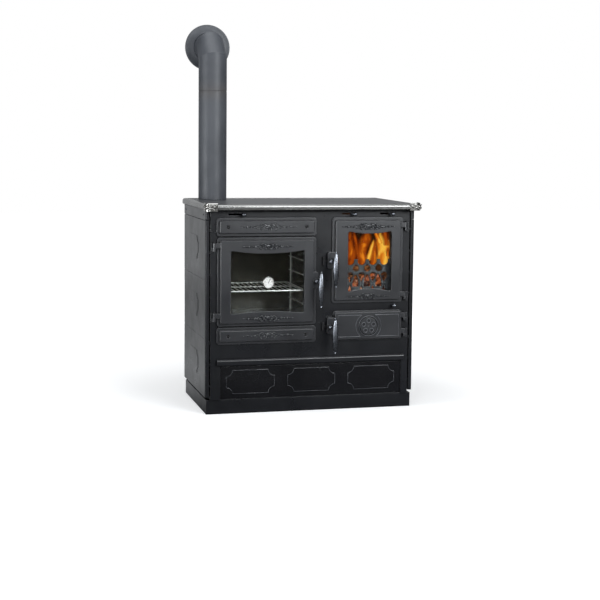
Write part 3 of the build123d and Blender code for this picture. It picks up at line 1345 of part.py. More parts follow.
def drawer_tray():
    x0 = DRAWER_OPENING[0] + TRAY_SIDE_CLEAR
    x1 = DRAWER_OPENING[1] - TRAY_SIDE_CLEAR
    y0 = DRAWER_FACE + DRAWER_SKIN
    foot = PLINTH_H + SHEET + RUNNER_H + DRAWER_SEAT
    y1 = TRAY_BACK - 5
    top = foot + TRAY_H
    tray = block(x0, x1, y0, y1, foot, top)
    return tray - block(x0 + SHEET, x1 - SHEET, y0 + SHEET, y1 - SHEET, foot + SHEET, top)


PARTS = {
    "plinth": plinth,
    "casing": casing,
    "back_panel": back_panel,
    "front_frame": front_frame,
    "side_panel_left": lambda: side_panel(-1),
    "side_panel_right": lambda: side_panel(1),
    "front_ledge": front_ledge,
    "drawer_runners": drawer_runners,
    "hob_frame": hob_frame,
    "hob_plate_left": hob_plate_left,
    "hob_plate_right": hob_plate_right,
    "hob_ring": hob_ring,
    "hob_lid": hob_lid,
    "hob_corners": hob_corners,
    "flue_collar": flue_collar,
    "flue_duct": flue_duct,
    "flue_pipe": flue_pipe,
    "flue_elbow": flue_elbow,
    "wall_rosette": wall_rosette,
    "upper_cover": lambda: cover(UPPER_COVER),
    "lower_cover": lambda: cover(LOWER_COVER),
    "cover_screws": cover_screws,
    "hinge_brackets": hinge_brackets,
    "hinge_pins": hinge_pins,
    "latch_keepers": latch_keepers,
    "oven_box": oven_box,
    "oven_ladders": oven_ladders,
    "oven_rack": oven_rack,
    "oven_door_leaf": oven_door_leaf,
    "oven_door_glass": oven_door_glass,
    "oven_glass_frame": lambda: glass_frame(OVEN_WINDOW),
    "oven_door_seal": lambda: door_seal(OVEN_DOOR),
    "oven_handle_shaft": lambda: handle_shaft(OVEN_HANDLE, 1),
    "oven_handle_grip": lambda: handle_grip(OVEN_HANDLE),
    "thermometer_case": thermometer_case,
    "thermometer_dial": thermometer_dial,
    "thermometer_needle": thermometer_needle,
    "fire_door_leaf": fire_door_leaf,
    "fire_door_glass": lambda: door_glass(FIRE_WINDOW),
    "fire_glass_frame": lambda: glass_frame(FIRE_WINDOW),
    "fire_door_seal": lambda: door_seal(FIRE_DOOR),
    "fire_handle_shaft": lambda: handle_shaft(FIRE_HANDLE, -1),
    "fire_handle_grip": lambda: handle_grip(FIRE_HANDLE),
    "fire_guard": fire_guard,
    "firebricks": firebricks,
    "grate_frame": grate_frame,
    "grate": grate,
    "shaker_rod": shaker_rod,
    "ash_chamber": ash_chamber,
    "ash_pan": ash_pan,
    "ash_door_leaf": ash_door_leaf,
    "ash_handle_shaft": lambda: handle_shaft(ASH_HANDLE, -1),
    "ash_handle_grip": lambda: handle_grip(ASH_HANDLE),
    "air_rosette": air_rosette,
    "air_guide": air_guide,
    "air_slide_left": lambda: air_slide(AIR_X[0]),
    "air_slide_right": lambda: air_slide(AIR_X[1]),
    "bypass_damper": bypass_damper,
    "drawer_front": drawer_front,
    "drawer_tray": drawer_tray,
}

os.makedirs("parts", exist_ok=True)
for name, make in PARTS.items():
    export_step(make(), f"parts/{name}.step")
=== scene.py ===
"""The looks of a black enamelled wood cookstove with a lit fire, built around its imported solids."""

import json
import random
from math import acos, asin, cos, degrees, pi, radians, sin

import bmesh
import bpy
from mathutils import Matrix, Vector

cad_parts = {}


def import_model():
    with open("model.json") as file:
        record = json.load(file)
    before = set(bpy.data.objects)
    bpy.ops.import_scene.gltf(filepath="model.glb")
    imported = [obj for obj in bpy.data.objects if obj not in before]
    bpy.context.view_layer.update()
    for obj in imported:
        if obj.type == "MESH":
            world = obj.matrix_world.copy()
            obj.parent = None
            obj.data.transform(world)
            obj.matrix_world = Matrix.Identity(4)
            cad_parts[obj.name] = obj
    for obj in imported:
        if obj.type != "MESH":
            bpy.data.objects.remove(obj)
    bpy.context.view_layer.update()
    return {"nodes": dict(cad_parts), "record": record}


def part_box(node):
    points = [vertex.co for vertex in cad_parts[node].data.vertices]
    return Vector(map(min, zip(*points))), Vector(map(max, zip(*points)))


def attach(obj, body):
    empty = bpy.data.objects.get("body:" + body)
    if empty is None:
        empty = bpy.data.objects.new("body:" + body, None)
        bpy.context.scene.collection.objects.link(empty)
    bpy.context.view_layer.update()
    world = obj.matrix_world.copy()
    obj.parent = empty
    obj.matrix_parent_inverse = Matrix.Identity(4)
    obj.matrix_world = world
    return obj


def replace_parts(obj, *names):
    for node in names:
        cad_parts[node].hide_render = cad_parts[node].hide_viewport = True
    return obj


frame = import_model()
MM = 0.001


# ---- node helpers ----
def with_settings(thing, **settings):
    for key, value in settings.items():
        setattr(thing, key, value)
    return thing


def feed(tree, socket, value):
    """Links a socket or sets a value, and gives a colour its alpha."""
    if isinstance(value, bpy.types.NodeSocket):
        tree.links.new(value, socket)
    else:
        socket.default_value = (*value, 1.0) if socket.type == "RGBA" else value


def new_node(tree, kind, inputs=None, **settings):
    """A node with its settings and with what goes into its inputs."""
    node = with_settings(tree.nodes.new(kind), **settings)
    for key, value in (inputs or {}).items():
        feed(tree, node.inputs[key], value)
    return node


class Finish:
    """One material, with short calls for the nodes that its finish is built from."""

    def __init__(self, name, fixed=None):
        self.material = bpy.data.materials.new(name)
        self.material.use_nodes = True
        self.tree = self.material.node_tree
        self.shader = self.tree.nodes["Principled BSDF"]
        self.place = self.add("TexCoord").outputs["Object"]
        for socket, value in (fixed or {}).items():
            self.set(socket, value)

    def made_by(self, make, *row):
        make(self, *row)
        return self.material

    def add(self, kind, inputs=None, **settings):
        return new_node(self.tree, "ShaderNode" + kind, inputs, **settings)

    def set(self, socket, value):
        feed(self.tree, self.shader.inputs[socket], value)

    def colour(self, value):
        self.set("Base Color", value)

    def stretched(self, *scale):
        return self.add("Mapping", {"Vector": self.place, "Scale": scale}).outputs["Vector"]

    def noise(self, scale, detail=3.0, roughness=0.5, distortion=0.0, place=None):
        inputs = {"Vector": place or self.place, "Scale": scale, "Detail": detail, "Roughness": roughness,
                  "Distortion": distortion}
        return self.add("TexNoise", inputs).outputs["Fac"]

    def ramp(self, factor, *stops):
        """Colours along a factor, from (position, colour) pairs."""
        node = self.add("ValToRGB", {"Fac": factor})
        node.color_ramp.interpolation = "EASE"
        elements = node.color_ramp.elements
        while len(elements) < len(stops):
            elements.new(0.5)
        for element, (position, colour) in zip(elements, stops):
            element.position = position
            element.color = (*colour, 1.0)
        return node.outputs["Color"]

    def mix(self, factor, first, second):
        return self.add("Mix", {0: factor, 6: first, 7: second}, data_type="RGBA").outputs[2]

    def math(self, operation, first, second=0.5, clamp=False):
        return self.add("Math", {0: first, 1: second}, operation=operation, use_clamp=clamp).outputs[0]

    def times(self, first, second, clamp=False):
        return self.math("MULTIPLY", first, second, clamp)

    def span(self, value, low, high, to_low=0.0, to_high=1.0):
        """A value from low to high, made a level from to_low to to_high."""
        inputs = {"Value": value, "From Min": low, "From Max": high, "To Min": to_low, "To Max": to_high}
        return self.add("MapRange", inputs).outputs["Result"]

    def varied(self, socket, factor, low, high):
        self.set(socket, self.span(factor, 0.3, 0.7, low, high))

    def axis(self, name):
        return self.add("SeparateXYZ", {"Vector": self.place}).outputs[name]

    def soft_normal(self, radius):
        return self.add("Bevel", {"Radius": radius}, samples=4).outputs["Normal"]

    def sharp_edge_mask(self, radius):
        """1 on a sharp edge and 0 on a flat, from the angle between the rounded and the true normal."""
        true = self.add("NewGeometry").outputs["True Normal"]
        dot = self.add("VectorMath", {0: self.soft_normal(radius), 1: true}, operation="DOT_PRODUCT")
        return self.span(dot.outputs["Value"], 0.98, 0.7)

    def out_of_painted_shade(self, reach):
        """1 on open faces and near 0 deep in gaps and grooves, where the finish lays painted shade."""
        shade = self.add("AmbientOcclusion", {"Distance": reach}, samples=6)
        return self.span(shade.outputs["AO"], 0.3, 0.85, 0.04, 1.0)

    def surface(self, heights, edge_radius=0.0):
        """Bumps from (height, strength, distance) rows, laid over softly rounded edges."""
        under = {"Normal": self.soft_normal(edge_radius)} if edge_radius else {}
        for height, strength, distance in heights:
            bump = {"Height": height, "Strength": strength, "Distance": distance, **under}
            under = {"Normal": self.add("Bump", bump).outputs["Normal"]}
        self.set("Normal", under["Normal"])


# ---- finishes of the metals, the enamel and the glass ----
def satin_enamel(finish, dark, pale, roughness, grain, edge, edge_wear_and_highlight, shine=0.5):
    """Fired enamel: clouded, with a fine orange-peel skin, painted shade in its gaps, and lighter edges that are
    partly a thinner coat and partly a painted highlight.
    """
    clouds, specks = finish.noise(3.2, 4, 0.55), finish.noise(150.0, 2, 0.6)
    tone = finish.ramp(clouds, (0.3, dark), (0.7, pale))
    tone = finish.mix(finish.span(specks, 0.62, 0.8, 0.0, 0.35), tone, [c * 1.9 for c in pale])
    # Lighter sharp edges: partly a thin, worn coat and partly a painted highlight.
    lighter_edges = finish.times(finish.sharp_edge_mask(0.4 * edge), finish.span(finish.noise(42.0), 0.35, 0.65, 0.45))
    # Painted shade: gaps and grooves turn near black in colour and lose their shine and coat.
    out_of_painted_shade = finish.out_of_painted_shade(0.009)
    tone = finish.mix(out_of_painted_shade, (0.001, 0.001, 0.0012), tone)
    finish.colour(finish.mix(lighter_edges, tone, [c + edge_wear_and_highlight for c in pale]))
    finish.varied("Roughness", finish.noise(9.0, 3, 0.6), roughness - 0.04, roughness + 0.05)
    finish.set("Specular IOR Level", finish.times(out_of_painted_shade, shine))
    finish.set("Coat Weight", finish.times(out_of_painted_shade, 0.2))
    finish.set("Coat Roughness", 0.2)
    finish.surface([(finish.noise(grain, 2, 0.5), 0.25, 0.00005), (clouds, 0.12, 0.0006)], edge)


def polished(finish, colour, roughness, brush, smear, edge=0.0, metallic=1.0):
    """Bright metal with drawn-out polishing lines and faint fingerprints."""
    finish.set("Metallic", metallic)
    lines = finish.noise(70.0, 3, 0.65, place=finish.stretched(*brush))
    prints = finish.noise(22.0, 3, 0.6, 0.4)
    finish.colour(finish.mix(finish.span(prints, 0.4, 0.75), colour, [c * 0.82 for c in colour]))
    marks = finish.span(lines, 0.35, 0.65, 0.0, smear), finish.span(prints, 0.45, 0.7, 0.0, smear)
    finish.set("Roughness", finish.math("ADD", finish.math("ADD", *marks), roughness, True))
    finish.surface([(lines, 0.12, 0.00003)], edge)


def burnt_iron(finish, dark, pale, metallic):
    """Cast iron that the fire has burnt and scaled."""
    finish.set("Metallic", metallic)
    scale = finish.noise(60.0, 4, 0.65)
    # Lighter sharp edges: partly rubbed iron and partly a painted highlight.
    lighter_edges = finish.times(finish.sharp_edge_mask(0.0012), finish.span(finish.noise(70.0), 0.3, 0.6, 0.3))
    tone = finish.ramp(scale, (0.35, dark), (0.7, pale))
    finish.colour(finish.mix(lighter_edges, tone, [c * 2.6 for c in pale]))
    finish.varied("Roughness", scale, 0.45, 0.7)
    finish.surface([(scale, 0.5, 0.0006)], 0.001)


def ground_iron(finish):
    """The hob plates: blackened cast iron with faint grinding marks and heat tint."""
    clouds = finish.noise(6.0, 4, 0.6)
    marks = finish.noise(60.0, 3, 0.6, place=finish.stretched(0.6, 9.0, 1.0))
    tone = finish.ramp(clouds, (0.3, (0.055, 0.056, 0.062)), (0.7, (0.105, 0.104, 0.108)))
    finish.colour(finish.mix(finish.span(marks, 0.45, 0.7, 0.0, 0.3), tone, (0.16, 0.155, 0.15)))
    finish.varied("Roughness", clouds, 0.35, 0.42)
    finish.surface([(marks, 0.25, 0.0001), (finish.noise(420.0, 2), 0.3, 0.00008)], 0.001)


def blackened_steel(finish):
    """Oiled black steel for shafts, keepers, frames and the ash pan."""
    patches = finish.noise(28.0, 4, 0.6)
    lighter_edges = finish.times(finish.sharp_edge_mask(0.0008), finish.span(finish.noise(90.0), 0.4, 0.6))
    tone = finish.ramp(patches, (0.3, (0.01, 0.01, 0.012)), (0.7, (0.022, 0.022, 0.023)))
    finish.colour(finish.mix(lighter_edges, tone, (0.16, 0.155, 0.15)))
    finish.varied("Roughness", patches, 0.38, 0.54)
    finish.surface([(finish.noise(300.0, 2), 0.3, 0.00006)], 0.0006)


def oven_lining(finish):
    """Dark brown gloss enamel with the flecks that such linings have."""
    flecks, clouds = finish.noise(260.0, 2, 0.6), finish.noise(5.0, 3)
    tone = finish.ramp(clouds, (0.3, (0.028, 0.024, 0.016)), (0.7, (0.052, 0.045, 0.03)))
    finish.colour(finish.mix(finish.span(flecks, 0.64, 0.72, 0.0, 0.4), tone, (0.13, 0.115, 0.085)))
    finish.varied("Roughness", clouds, 0.14, 0.26)
    finish.surface([(finish.noise(30.0, 2), 0.2, 0.0004)], 0.001)


PIPE_SEAM = 1310.0


def pipe_paint(finish):
    """Satin heat-proof paint on the flue, a little browned near its seam."""
    clouds = finish.noise(7.0, 4, 0.55)
    tone = finish.ramp(clouds, (0.3, (0.046, 0.05, 0.058)), (0.7, (0.068, 0.073, 0.083)))
    from_seam = finish.math("ABSOLUTE", finish.math("SUBTRACT", finish.axis("Z"), PIPE_SEAM * MM))
    heat = finish.times(finish.span(from_seam, 0.05, 0.0), finish.span(clouds, 0.35, 0.65, 0.2, 0.7))
    finish.colour(finish.mix(heat, tone, (0.075, 0.066, 0.06)))
    finish.varied("Roughness", finish.noise(16.0, 3), 0.42, 0.52)
    finish.surface([(finish.noise(480.0, 2), 0.35, 0.00007), (finish.noise(11.0, 2), 0.25, 0.0008)], 0.0008)


def clear_pane(finish):
    """Ceramic glass with a faint smoky tint and a few smears; it lets the lamps through."""
    finish.set("Roughness", finish.span(finish.noise(14.0, 3, 0.6, 0.6), 0.5, 0.8, 0.01, 0.06))
    shadow = finish.add("LightPath").outputs["Is Shadow Ray"]
    through = finish.add("BsdfTransparent", {"Color": (0.86, 0.88, 0.87)})
    blend = finish.add("MixShader", {0: shadow, 1: finish.shader.outputs[0], 2: through.outputs[0]})
    feed(finish.tree, finish.tree.nodes["Material Output"].inputs["Surface"], blend.outputs[0])


def rope_seal(finish):
    """Twisted heat-proof cord, in slanting strands."""
    wave = {"Vector": finish.place, "Scale": 160.0, "Distortion": 1.5}
    strands = finish.add("TexWave", wave, wave_type="BANDS", bands_direction="DIAGONAL").outputs["Fac"]
    finish.colour(finish.mix(strands, (0.11, 0.105, 0.095), (0.3, 0.285, 0.26)))
    finish.surface([(strands, 0.8, 0.0006)])


def printed_dial(finish):
    """The dial's white enamel, a little aged."""
    finish.colour(finish.ramp(finish.noise(90.0, 3), (0.3, (0.78, 0.77, 0.73)), (0.7, (0.86, 0.86, 0.84))))
    finish.surface([(finish.noise(900.0, 1), 0.2, 0.00003)])


def printed_ink(finish):
    """Flat black print, a little thin in places."""
    finish.colour(finish.ramp(finish.noise(700.0, 2), (0.35, (0.008, 0.008, 0.01)), (0.75, (0.03, 0.03, 0.032))))


# ---- finishes of the firebox and the fire ----
def sooty_brick(finish):
    """Fired clay, black with soot where the fire licks it."""
    soot, grain = finish.noise(9.0, 4, 0.6), finish.noise(130.0, 4, 0.65)
    clay = finish.ramp(grain, (0.3, (0.07, 0.045, 0.03)), (0.7, (0.15, 0.1, 0.065)))
    rise, patches = finish.span(finish.axis("Z"), 0.5, 0.68, 0.0, 0.45), finish.span(soot, 0.35, 0.6, 0.3, 0.8)
    black = finish.math("MINIMUM", finish.math("ADD", rise, patches), 0.97)
    finish.colour(finish.mix(black, clay, (0.012, 0.01, 0.009)))
    finish.surface([(grain, 0.6, 0.0012), (soot, 0.3, 0.002)])


def flame_glow(finish):
    """Burning gas: yellow at the heart, orange at the rim, clear at the tip."""
    across, along, heat = (finish.add("Attribute", attribute_name=name).outputs["Fac"]
                           for name in ("flame_u", "flame_v", "flame_heat"))
    lick = finish.noise(24.0, 3, 0.55, 1.4, finish.stretched(1.0, 1.0, 0.4))
    heart = finish.math("SUBTRACT", heat, finish.times(across, 0.5))
    heart = finish.math("ADD", heart, finish.span(lick, 0.3, 0.7, -0.3, 0.2))
    finish.set("Emission Color", finish.ramp(heart, (0.02, (0.1, 0.01, 0.001)), (0.3, (0.36, 0.06, 0.003)),
                                             (0.58, (0.74, 0.2, 0.01)), (0.88, (0.95, 0.5, 0.06))))
    rim, tip, foot = finish.span(across, 1.0, 0.15), finish.span(along, 1.0, 0.72), finish.span(along, 0.0, 0.08)
    finish.set("Alpha", finish.times(finish.times(rim, tip), foot, True))


def glowing_embers(finish):
    """Glowing coals: hot in the cracks, ash grey on the crowns."""
    cracks, hot, ash = finish.noise(38.0, 4, 0.7), finish.noise(17.0, 1, 0.4), finish.noise(90.0, 3, 0.6)
    finish.colour(finish.mix(finish.span(ash, 0.4, 0.7), (0.03, 0.022, 0.02), (0.26, 0.2, 0.17)))
    glow = finish.ramp(cracks, (0.34, (0.08, 0.008, 0.002)), (0.5, (0.6, 0.13, 0.03)), (0.66, (0.92, 0.44, 0.22)))
    finish.set("Emission Color", finish.mix(finish.span(hot, 0.46, 0.62), (0.012, 0.001, 0.0004), glow))
    finish.surface([(cracks, 0.8, 0.003)])


def charred_log(finish):
    """Burning wood: black scaled bark with glowing splits."""
    cells = {"Vector": finish.stretched(0.5, 1.0, 1.0), "Scale": 70.0}
    scales = finish.add("TexVoronoi", cells, feature="DISTANCE_TO_EDGE").outputs["Distance"]
    grey = finish.noise(60.0, 4, 0.6)
    finish.colour(finish.mix(finish.span(grey, 0.45, 0.7), (0.014, 0.012, 0.011), (0.12, 0.105, 0.095)))
    split = finish.times(finish.span(scales, 0.06, 0.0), finish.span(finish.noise(9.0), 0.4, 0.6))
    finish.set("Emission Color", finish.mix(split, (0.0, 0.0, 0.0), (0.9, 0.2, 0.02)))
    finish.surface([(scales, 0.7, 0.003), (grey, 0.5, 0.002)])


# Darkest and palest tone, roughness, grain, edge radius in metres, wear and painted highlight on the edges,
# shine.
ENAMELS = {
    "enamel": ((0.0042, 0.0047, 0.0062), (0.0076, 0.0083, 0.0108), 0.3, 520.0, 0.003, 0.07),
    "drawer_enamel": ((0.0022, 0.0023, 0.0032), (0.0045, 0.0047, 0.0062), 0.24, 380.0, 0.0035, 0.16),
    "cast_black": ((0.0085, 0.0092, 0.0118), (0.014, 0.0151, 0.0188), 0.35, 330.0, 0.004, 0.3, 0.8),
    "raised_scrolls": ((0.012, 0.0128, 0.0155), (0.021, 0.0225, 0.027), 0.18, 260.0, 0.0006, 0.12, 1.0),
    # The next two rows are paler copies of the enamel for raised lines: painted highlight.
    "fine_lines": ((0.026, 0.028, 0.034), (0.045, 0.048, 0.056), 0.22, 260.0, 0.0008, 0.15, 1.0),
    "door_lines": ((0.05, 0.053, 0.062), (0.075, 0.08, 0.09), 0.28, 260.0, 0.0008, 0.15, 1.0),
    # Near black and without shine: painted shade in a groove.
    "groove_soot": ((0.0008, 0.0008, 0.001), (0.0015, 0.0015, 0.0018), 0.7, 260.0, 0.0006, 0.0, 0.05),
}
# Colour, roughness, stretch of the polishing lines, strength of the marks, edge radius in metres, metallic.
BRIGHT_METALS = {
    "polished_steel": ((0.25, 0.247, 0.24), 0.2, (1.0, 30.0, 30.0), 0.05, 0.0015),
    "nickel": ((0.42, 0.41, 0.39), 0.17, (6.0, 6.0, 6.0), 0.06, 0.0008),
    "chrome": ((0.25, 0.265, 0.295), 0.23, (8.0, 8.0, 1.0), 0.05),
    "shelf_wire": ((0.85, 0.84, 0.8), 0.26, (6.0, 6.0, 6.0), 0.05, 0.0, 0.5),
}
# Darkest and palest tone, metallic.
BURNT_IRONS = {
    "grate_iron": ((0.012, 0.011, 0.011), (0.05, 0.038, 0.032), 0.2),
    "guard_iron": ((0.024, 0.026, 0.03), (0.05, 0.053, 0.058), 0.3),
}
# The maker of each other finish, and the values of its shader that are the same all over.
MAKERS = {
    "cast_plate": (ground_iron, {"Metallic": 0.35}),
    "dark_steel": (blackened_steel, {"Metallic": 0.4}),
    "oven_enamel": (oven_lining, {"Coat Weight": 0.5, "Coat Roughness": 0.1}),
    "pipe_paint": (pipe_paint, {}),
    "heat_glass": (clear_pane, {"Base Color": (0.9, 0.93, 0.92), "Transmission Weight": 1.0, "IOR": 1.45}),
    "rope_seal": (rope_seal, {"Roughness": 0.9}),
    "dial_white": (printed_dial, {"Roughness": 0.45}),
    "ink": (printed_ink, {"Roughness": 0.6}),
    "fire_brick": (sooty_brick, {"Roughness": 0.9}),
    "flame_glow": (flame_glow, {"Base Color": (0, 0, 0), "Roughness": 1.0, "Specular IOR Level": 0.0,
                                "Emission Strength": 1.1}),
    "embers": (glowing_embers, {"Roughness": 0.95, "Emission Strength": 0.7}),
    "charred_log": (charred_log, {"Roughness": 0.9, "Emission Strength": 1.0}),
}
FINISHES = {name: Finish(name, fixed).made_by(make) for name, (make, fixed) in MAKERS.items()}
for make, rows in ((satin_enamel, ENAMELS), (polished, BRIGHT_METALS), (burnt_iron, BURNT_IRONS)):
    FINISHES |= {name: Finish(name).made_by(make, *row) for name, row in rows.items()}
OWN_FINISHES = {
    "cover_screws": "drawer_enamel", "hinge_pins": "dark_steel", "hinge_brackets": "cast_black",
    "front_ledge": "enamel", "grate": "grate_iron", "grate_frame": "grate_iron",
}

for row in frame["record"]["subparts"]:
    for place in frame["nodes"][row["node"]].material_slots:
        place.material = FINISHES[OWN_FINISHES.get(row["node"], row["material_slot"])]


# ---- shapes ----
CREASE = 38
CAST_CREASE = 60
WELD = 1e-6
FACING_FRONT = (pi / 2, 0, 0)


class Shape:
    """Points in millimetres and faces, gathered into one closed piece."""

    def __init__(self):
        self.points = []
        self.faces = []

    def ring(self, centre, across, up, sides):
        """A loop of points round a centre, from two half-axes."""
        first = len(self.points)
        angles = [2 * pi * n / sides for n in range(sides)]
        self.points += [centre + across * cos(angle) + up * sin(angle) for angle in angles]
        return list(range(first, first + sides))

    def bridge(self, one, two):
        self.faces += [(one[n - 1], one[n], two[n], two[n - 1]) for n in range(len(one))]

    def cap(self, loop, centre):
        self.faces += [(loop[n - 1], loop[n], len(self.points)) for n in range(len(loop))]
        self.points.append(centre)

    def skin(self, loops, foot, tip):
        """A closed skin over loops of points, with a foot and a tip in the middle of its ends."""
        for one, two in zip(loops, loops[1:]):
            self.bridge(one, two)
        self.cap(loops[0], foot)
        self.cap(loops[-1], tip)
        return self

    def tube(self, path, radii, sides, relief=1.0):
        """A round bar along points, with its own radius at each, flattened towards the front by its relief."""
        path = [Vector(point) for point in path]
        flattened = Vector((1, relief, 1))
        side = (path[1] - path[0]).orthogonal().normalized()
        loops = []
        for n, point in enumerate(path):
            ahead = (path[min(n + 1, len(path) - 1)] - path[max(n - 1, 0)]).normalized()
            side = (side - ahead * side.dot(ahead)).normalized()
            across, up = (axis * radii[n] * flattened for axis in (side, ahead.cross(side)))
            loops.append(self.ring(point, across, up, sides))
        return self.skin(loops, path[0], path[-1])

    def turned(self, foot, axis, profile, sides):
        """A turned form from (radius, height) points along an axis; it closes itself at both ends."""
        foot, axis = Vector(foot), Vector(axis).normalized()
        side = axis.orthogonal().normalized()
        up = axis.cross(side)
        loops = [self.ring(foot + axis * h, side * r, up * r, sides) for r, h in profile]
        return self.skin(loops, foot + axis * profile[0][1], foot + axis * profile[-1][1])

    def block(self, low, high):
        x, y, z = zip(low, high)
        first = len(self.points)
        self.points += [Vector((x[a], y[b], z[c])) for a in (0, 1) for b in (0, 1) for c in (0, 1)]
        for face in ((0, 1, 3, 2), (4, 6, 7, 5), (0, 4, 5, 1), (2, 3, 7, 6), (0, 2, 6, 4), (1, 5, 7, 3)):
            self.faces.append(tuple(first + n for n in face))
        return self

    def mesh(self, name, finish, crease):
        mesh = bpy.data.meshes.new(name)
        mesh.from_pydata([point * MM for point in self.points], [], self.faces)
        return finished(mesh, finish, crease)

    def piece(self, name, finish, body, slot, crease=CREASE):
        return settle(self.mesh(name, finish, crease), name, body)


def finished(mesh, finish, crease):
    """A mesh with its doubles merged, its faces outwards, edges sharp past an angle, and its finish."""
    form = bmesh.new()
    form.from_mesh(mesh)
    bmesh.ops.remove_doubles(form, verts=form.verts, dist=WELD)
    bmesh.ops.recalc_face_normals(form, faces=form.faces)
    form.to_mesh(mesh)
    form.free()
    mesh.shade_smooth()
    mesh.set_sharp_from_angle(angle=radians(crease))
    mesh.materials.clear()
    mesh.materials.append(FINISHES[finish])
    return mesh


def placed(name, data):
    """An object in the scene that holds what it is given."""
    holder = bpy.data.objects.new(name, data)
    bpy.context.scene.collection.objects.link(holder)
    return holder


def plain_mesh(source):
    """What an object comes to, as a plain mesh; the object itself goes."""
    mesh = bpy.data.meshes.new_from_object(source.evaluated_get(bpy.context.evaluated_depsgraph_get()))
    bpy.data.objects.remove(source)
    return mesh


def settle(mesh, name, body):
    """A finished mesh made a piece that rides on its body."""
    piece = placed(name, mesh)
    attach(piece, body)
    return piece


def stood_up(drawing, place, finish, body):
    """A flat curve or text turned to face the front, as one closed piece at a place in millimetres."""
    mesh = plain_mesh(placed(drawing.name, drawing))
    mesh.transform(Matrix.Translation(Vector(place) * MM) @ Matrix.Rotation(pi / 2, 4, "X"))
    return settle(finished(mesh, finish, 50), drawing.name, body)


def middle(node):
    low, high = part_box(node)
    return (low + high) / 2 / MM


def face_front(node):
    """The Y of a node's most forward plane, in millimetres."""
    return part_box(node)[0].y / MM


# ---- repeated fittings, by geometry nodes ----
def repeat_tree():
    """A tree that sets one fitting on every point of a guide, by the point's own turn and size."""
    tree = bpy.data.node_groups.new("repeated_fittings", "GeometryNodeTree")
    sockets = {"Guide": "Geometry", "Fitting": "Object", "Fitting Size": "Float", "Size Variation": "Float",
               "Seed": "Int", "Finish": "Material"}
    for name, kind in sockets.items():
        tree.interface.new_socket(name, in_out="INPUT", socket_type="NodeSocket" + kind)
    tree.interface.new_socket("Fittings", in_out="OUTPUT", socket_type="NodeSocketGeometry")

    def add(kind, output, inputs, **settings):
        return new_node(tree, kind, inputs, **settings).outputs[output]

    given = tree.nodes.new("NodeGroupInput").outputs
    turn = add("GeometryNodeInputNamedAttribute", "Attribute", {"Name": "turn"}, data_type="FLOAT_VECTOR")
    size = add("GeometryNodeInputNamedAttribute", "Attribute", {"Name": "size"}, data_type="FLOAT")
    least = add("ShaderNodeMath", 0, {0: 1.0, 1: given["Size Variation"]}, operation="SUBTRACT")
    draw = add("FunctionNodeRandomValue", 1, {2: least, 3: 1.0, "Seed": given["Seed"]}, data_type="FLOAT")
    scale = add("ShaderNodeMath", 0, {0: size, 1: given["Fitting Size"]}, operation="MULTIPLY")
    scale = add("ShaderNodeMath", 0, {0: scale, 1: draw}, operation="MULTIPLY")
    fitting = add("GeometryNodeObjectInfo", "Geometry", {"Object": given["Fitting"]})
    row = {"Points": given["Guide"], "Instance": fitting, "Rotation": turn, "Scale": scale}
    row = add("GeometryNodeInstanceOnPoints", "Instances", row)
    row = add("GeometryNodeRealizeInstances", "Geometry", {"Geometry": row})
    row = add("GeometryNodeSetMaterial", "Geometry", {"Geometry": row, "Material": given["Finish"]})
    new_node(tree, "NodeGroupOutput", {"Fittings": row})
    return tree


REPEAT = repeat_tree()


def repeated(name, fitting, places, finish, body, variation=0.0, seed=1, crease=CREASE):
    """A row of one fitting: places holds (point in mm, turn, size) rows. The result is one plain mesh."""
    points = bpy.data.meshes.new(name + "_guide")
    points.from_pydata([Vector(point) * MM for point, _, _ in places], [], [])
    turns = [angle for _, angles, _ in places for angle in angles]
    points.attributes.new("turn", "FLOAT_VECTOR", "POINT").data.foreach_set("vector", turns)
    sizes = [size for _, _, size in places]
    points.attributes.new("size", "FLOAT", "POINT").data.foreach_set("value", sizes)
    guide = placed(name + "_guide", points)
    model = placed(name + "_fitting", fitting.mesh(name + "_fitting", finish, crease))
    row = guide.modifiers.new("row", "NODES")
    row.node_group = REPEAT
    keys = {item.name: item.identifier for item in REPEAT.interface.items_tree if item.in_out == "INPUT"}
    inputs = {"Fitting": model, "Fitting Size": 1.0, "Size Variation": variation, "Seed": seed,
              "Finish": FINISHES[finish]}
    for key, value in inputs.items():
        row[keys[key]] = value
    guide.update_tag()
    mesh = plain_mesh(guide)
    mesh.name = name
    bpy.data.objects.remove(model)
    return settle(mesh, name, body)


# ---- cast scroll ornament, in millimetres from its middle ----
SCROLL_RELIEF = 0.75
SCROLL_BODY = 1.5
LEAF_STEPS = 7
# A curl is (across, up, size, start, sweep, thickness) and a leaf (across, up, angle, length, thickness, bend).
CURLS = ((17, 1, 10.5, 215, -430, 1.7), (36, -2, 7.0, 130, 400, 1.4))
LEAVES = (
    (4, -9, -10, 13, 1.6, 40), (22, 10, 30, 12, 1.7, -50), (25, -9, -35, 11, 1.6, 50), (28, 8, 5, 12, 1.4, -30),
    (43, 3, 25, 10, 1.4, -60), (44, -6, -20, 9, 1.2, 50), (49, -1, 8, 22, 1.3, -16), (56, 2, 50, 7, 1.2, -40),
    (60, -1, -50, 7, 1.2, 40), (84, 0, 4, 13, 1.5, -8), (87, 1, 45, 6, 1.0, -20), (87, -1, -45, 6, 1.0, 20),
    (107, 0, 0, 10, 1.2),
)
MIDDLE_LEAVES = ((0, -7, 90, 20, 2.3), (0, -3, 62, 14, 1.7, 14), (0, -3, 118, 14, 1.7, -14),
                 (0, -5, 30, 11, 1.5, 30), (0, -5, 150, 11, 1.5, -30), (0, -8, -90, 6, 1.5))
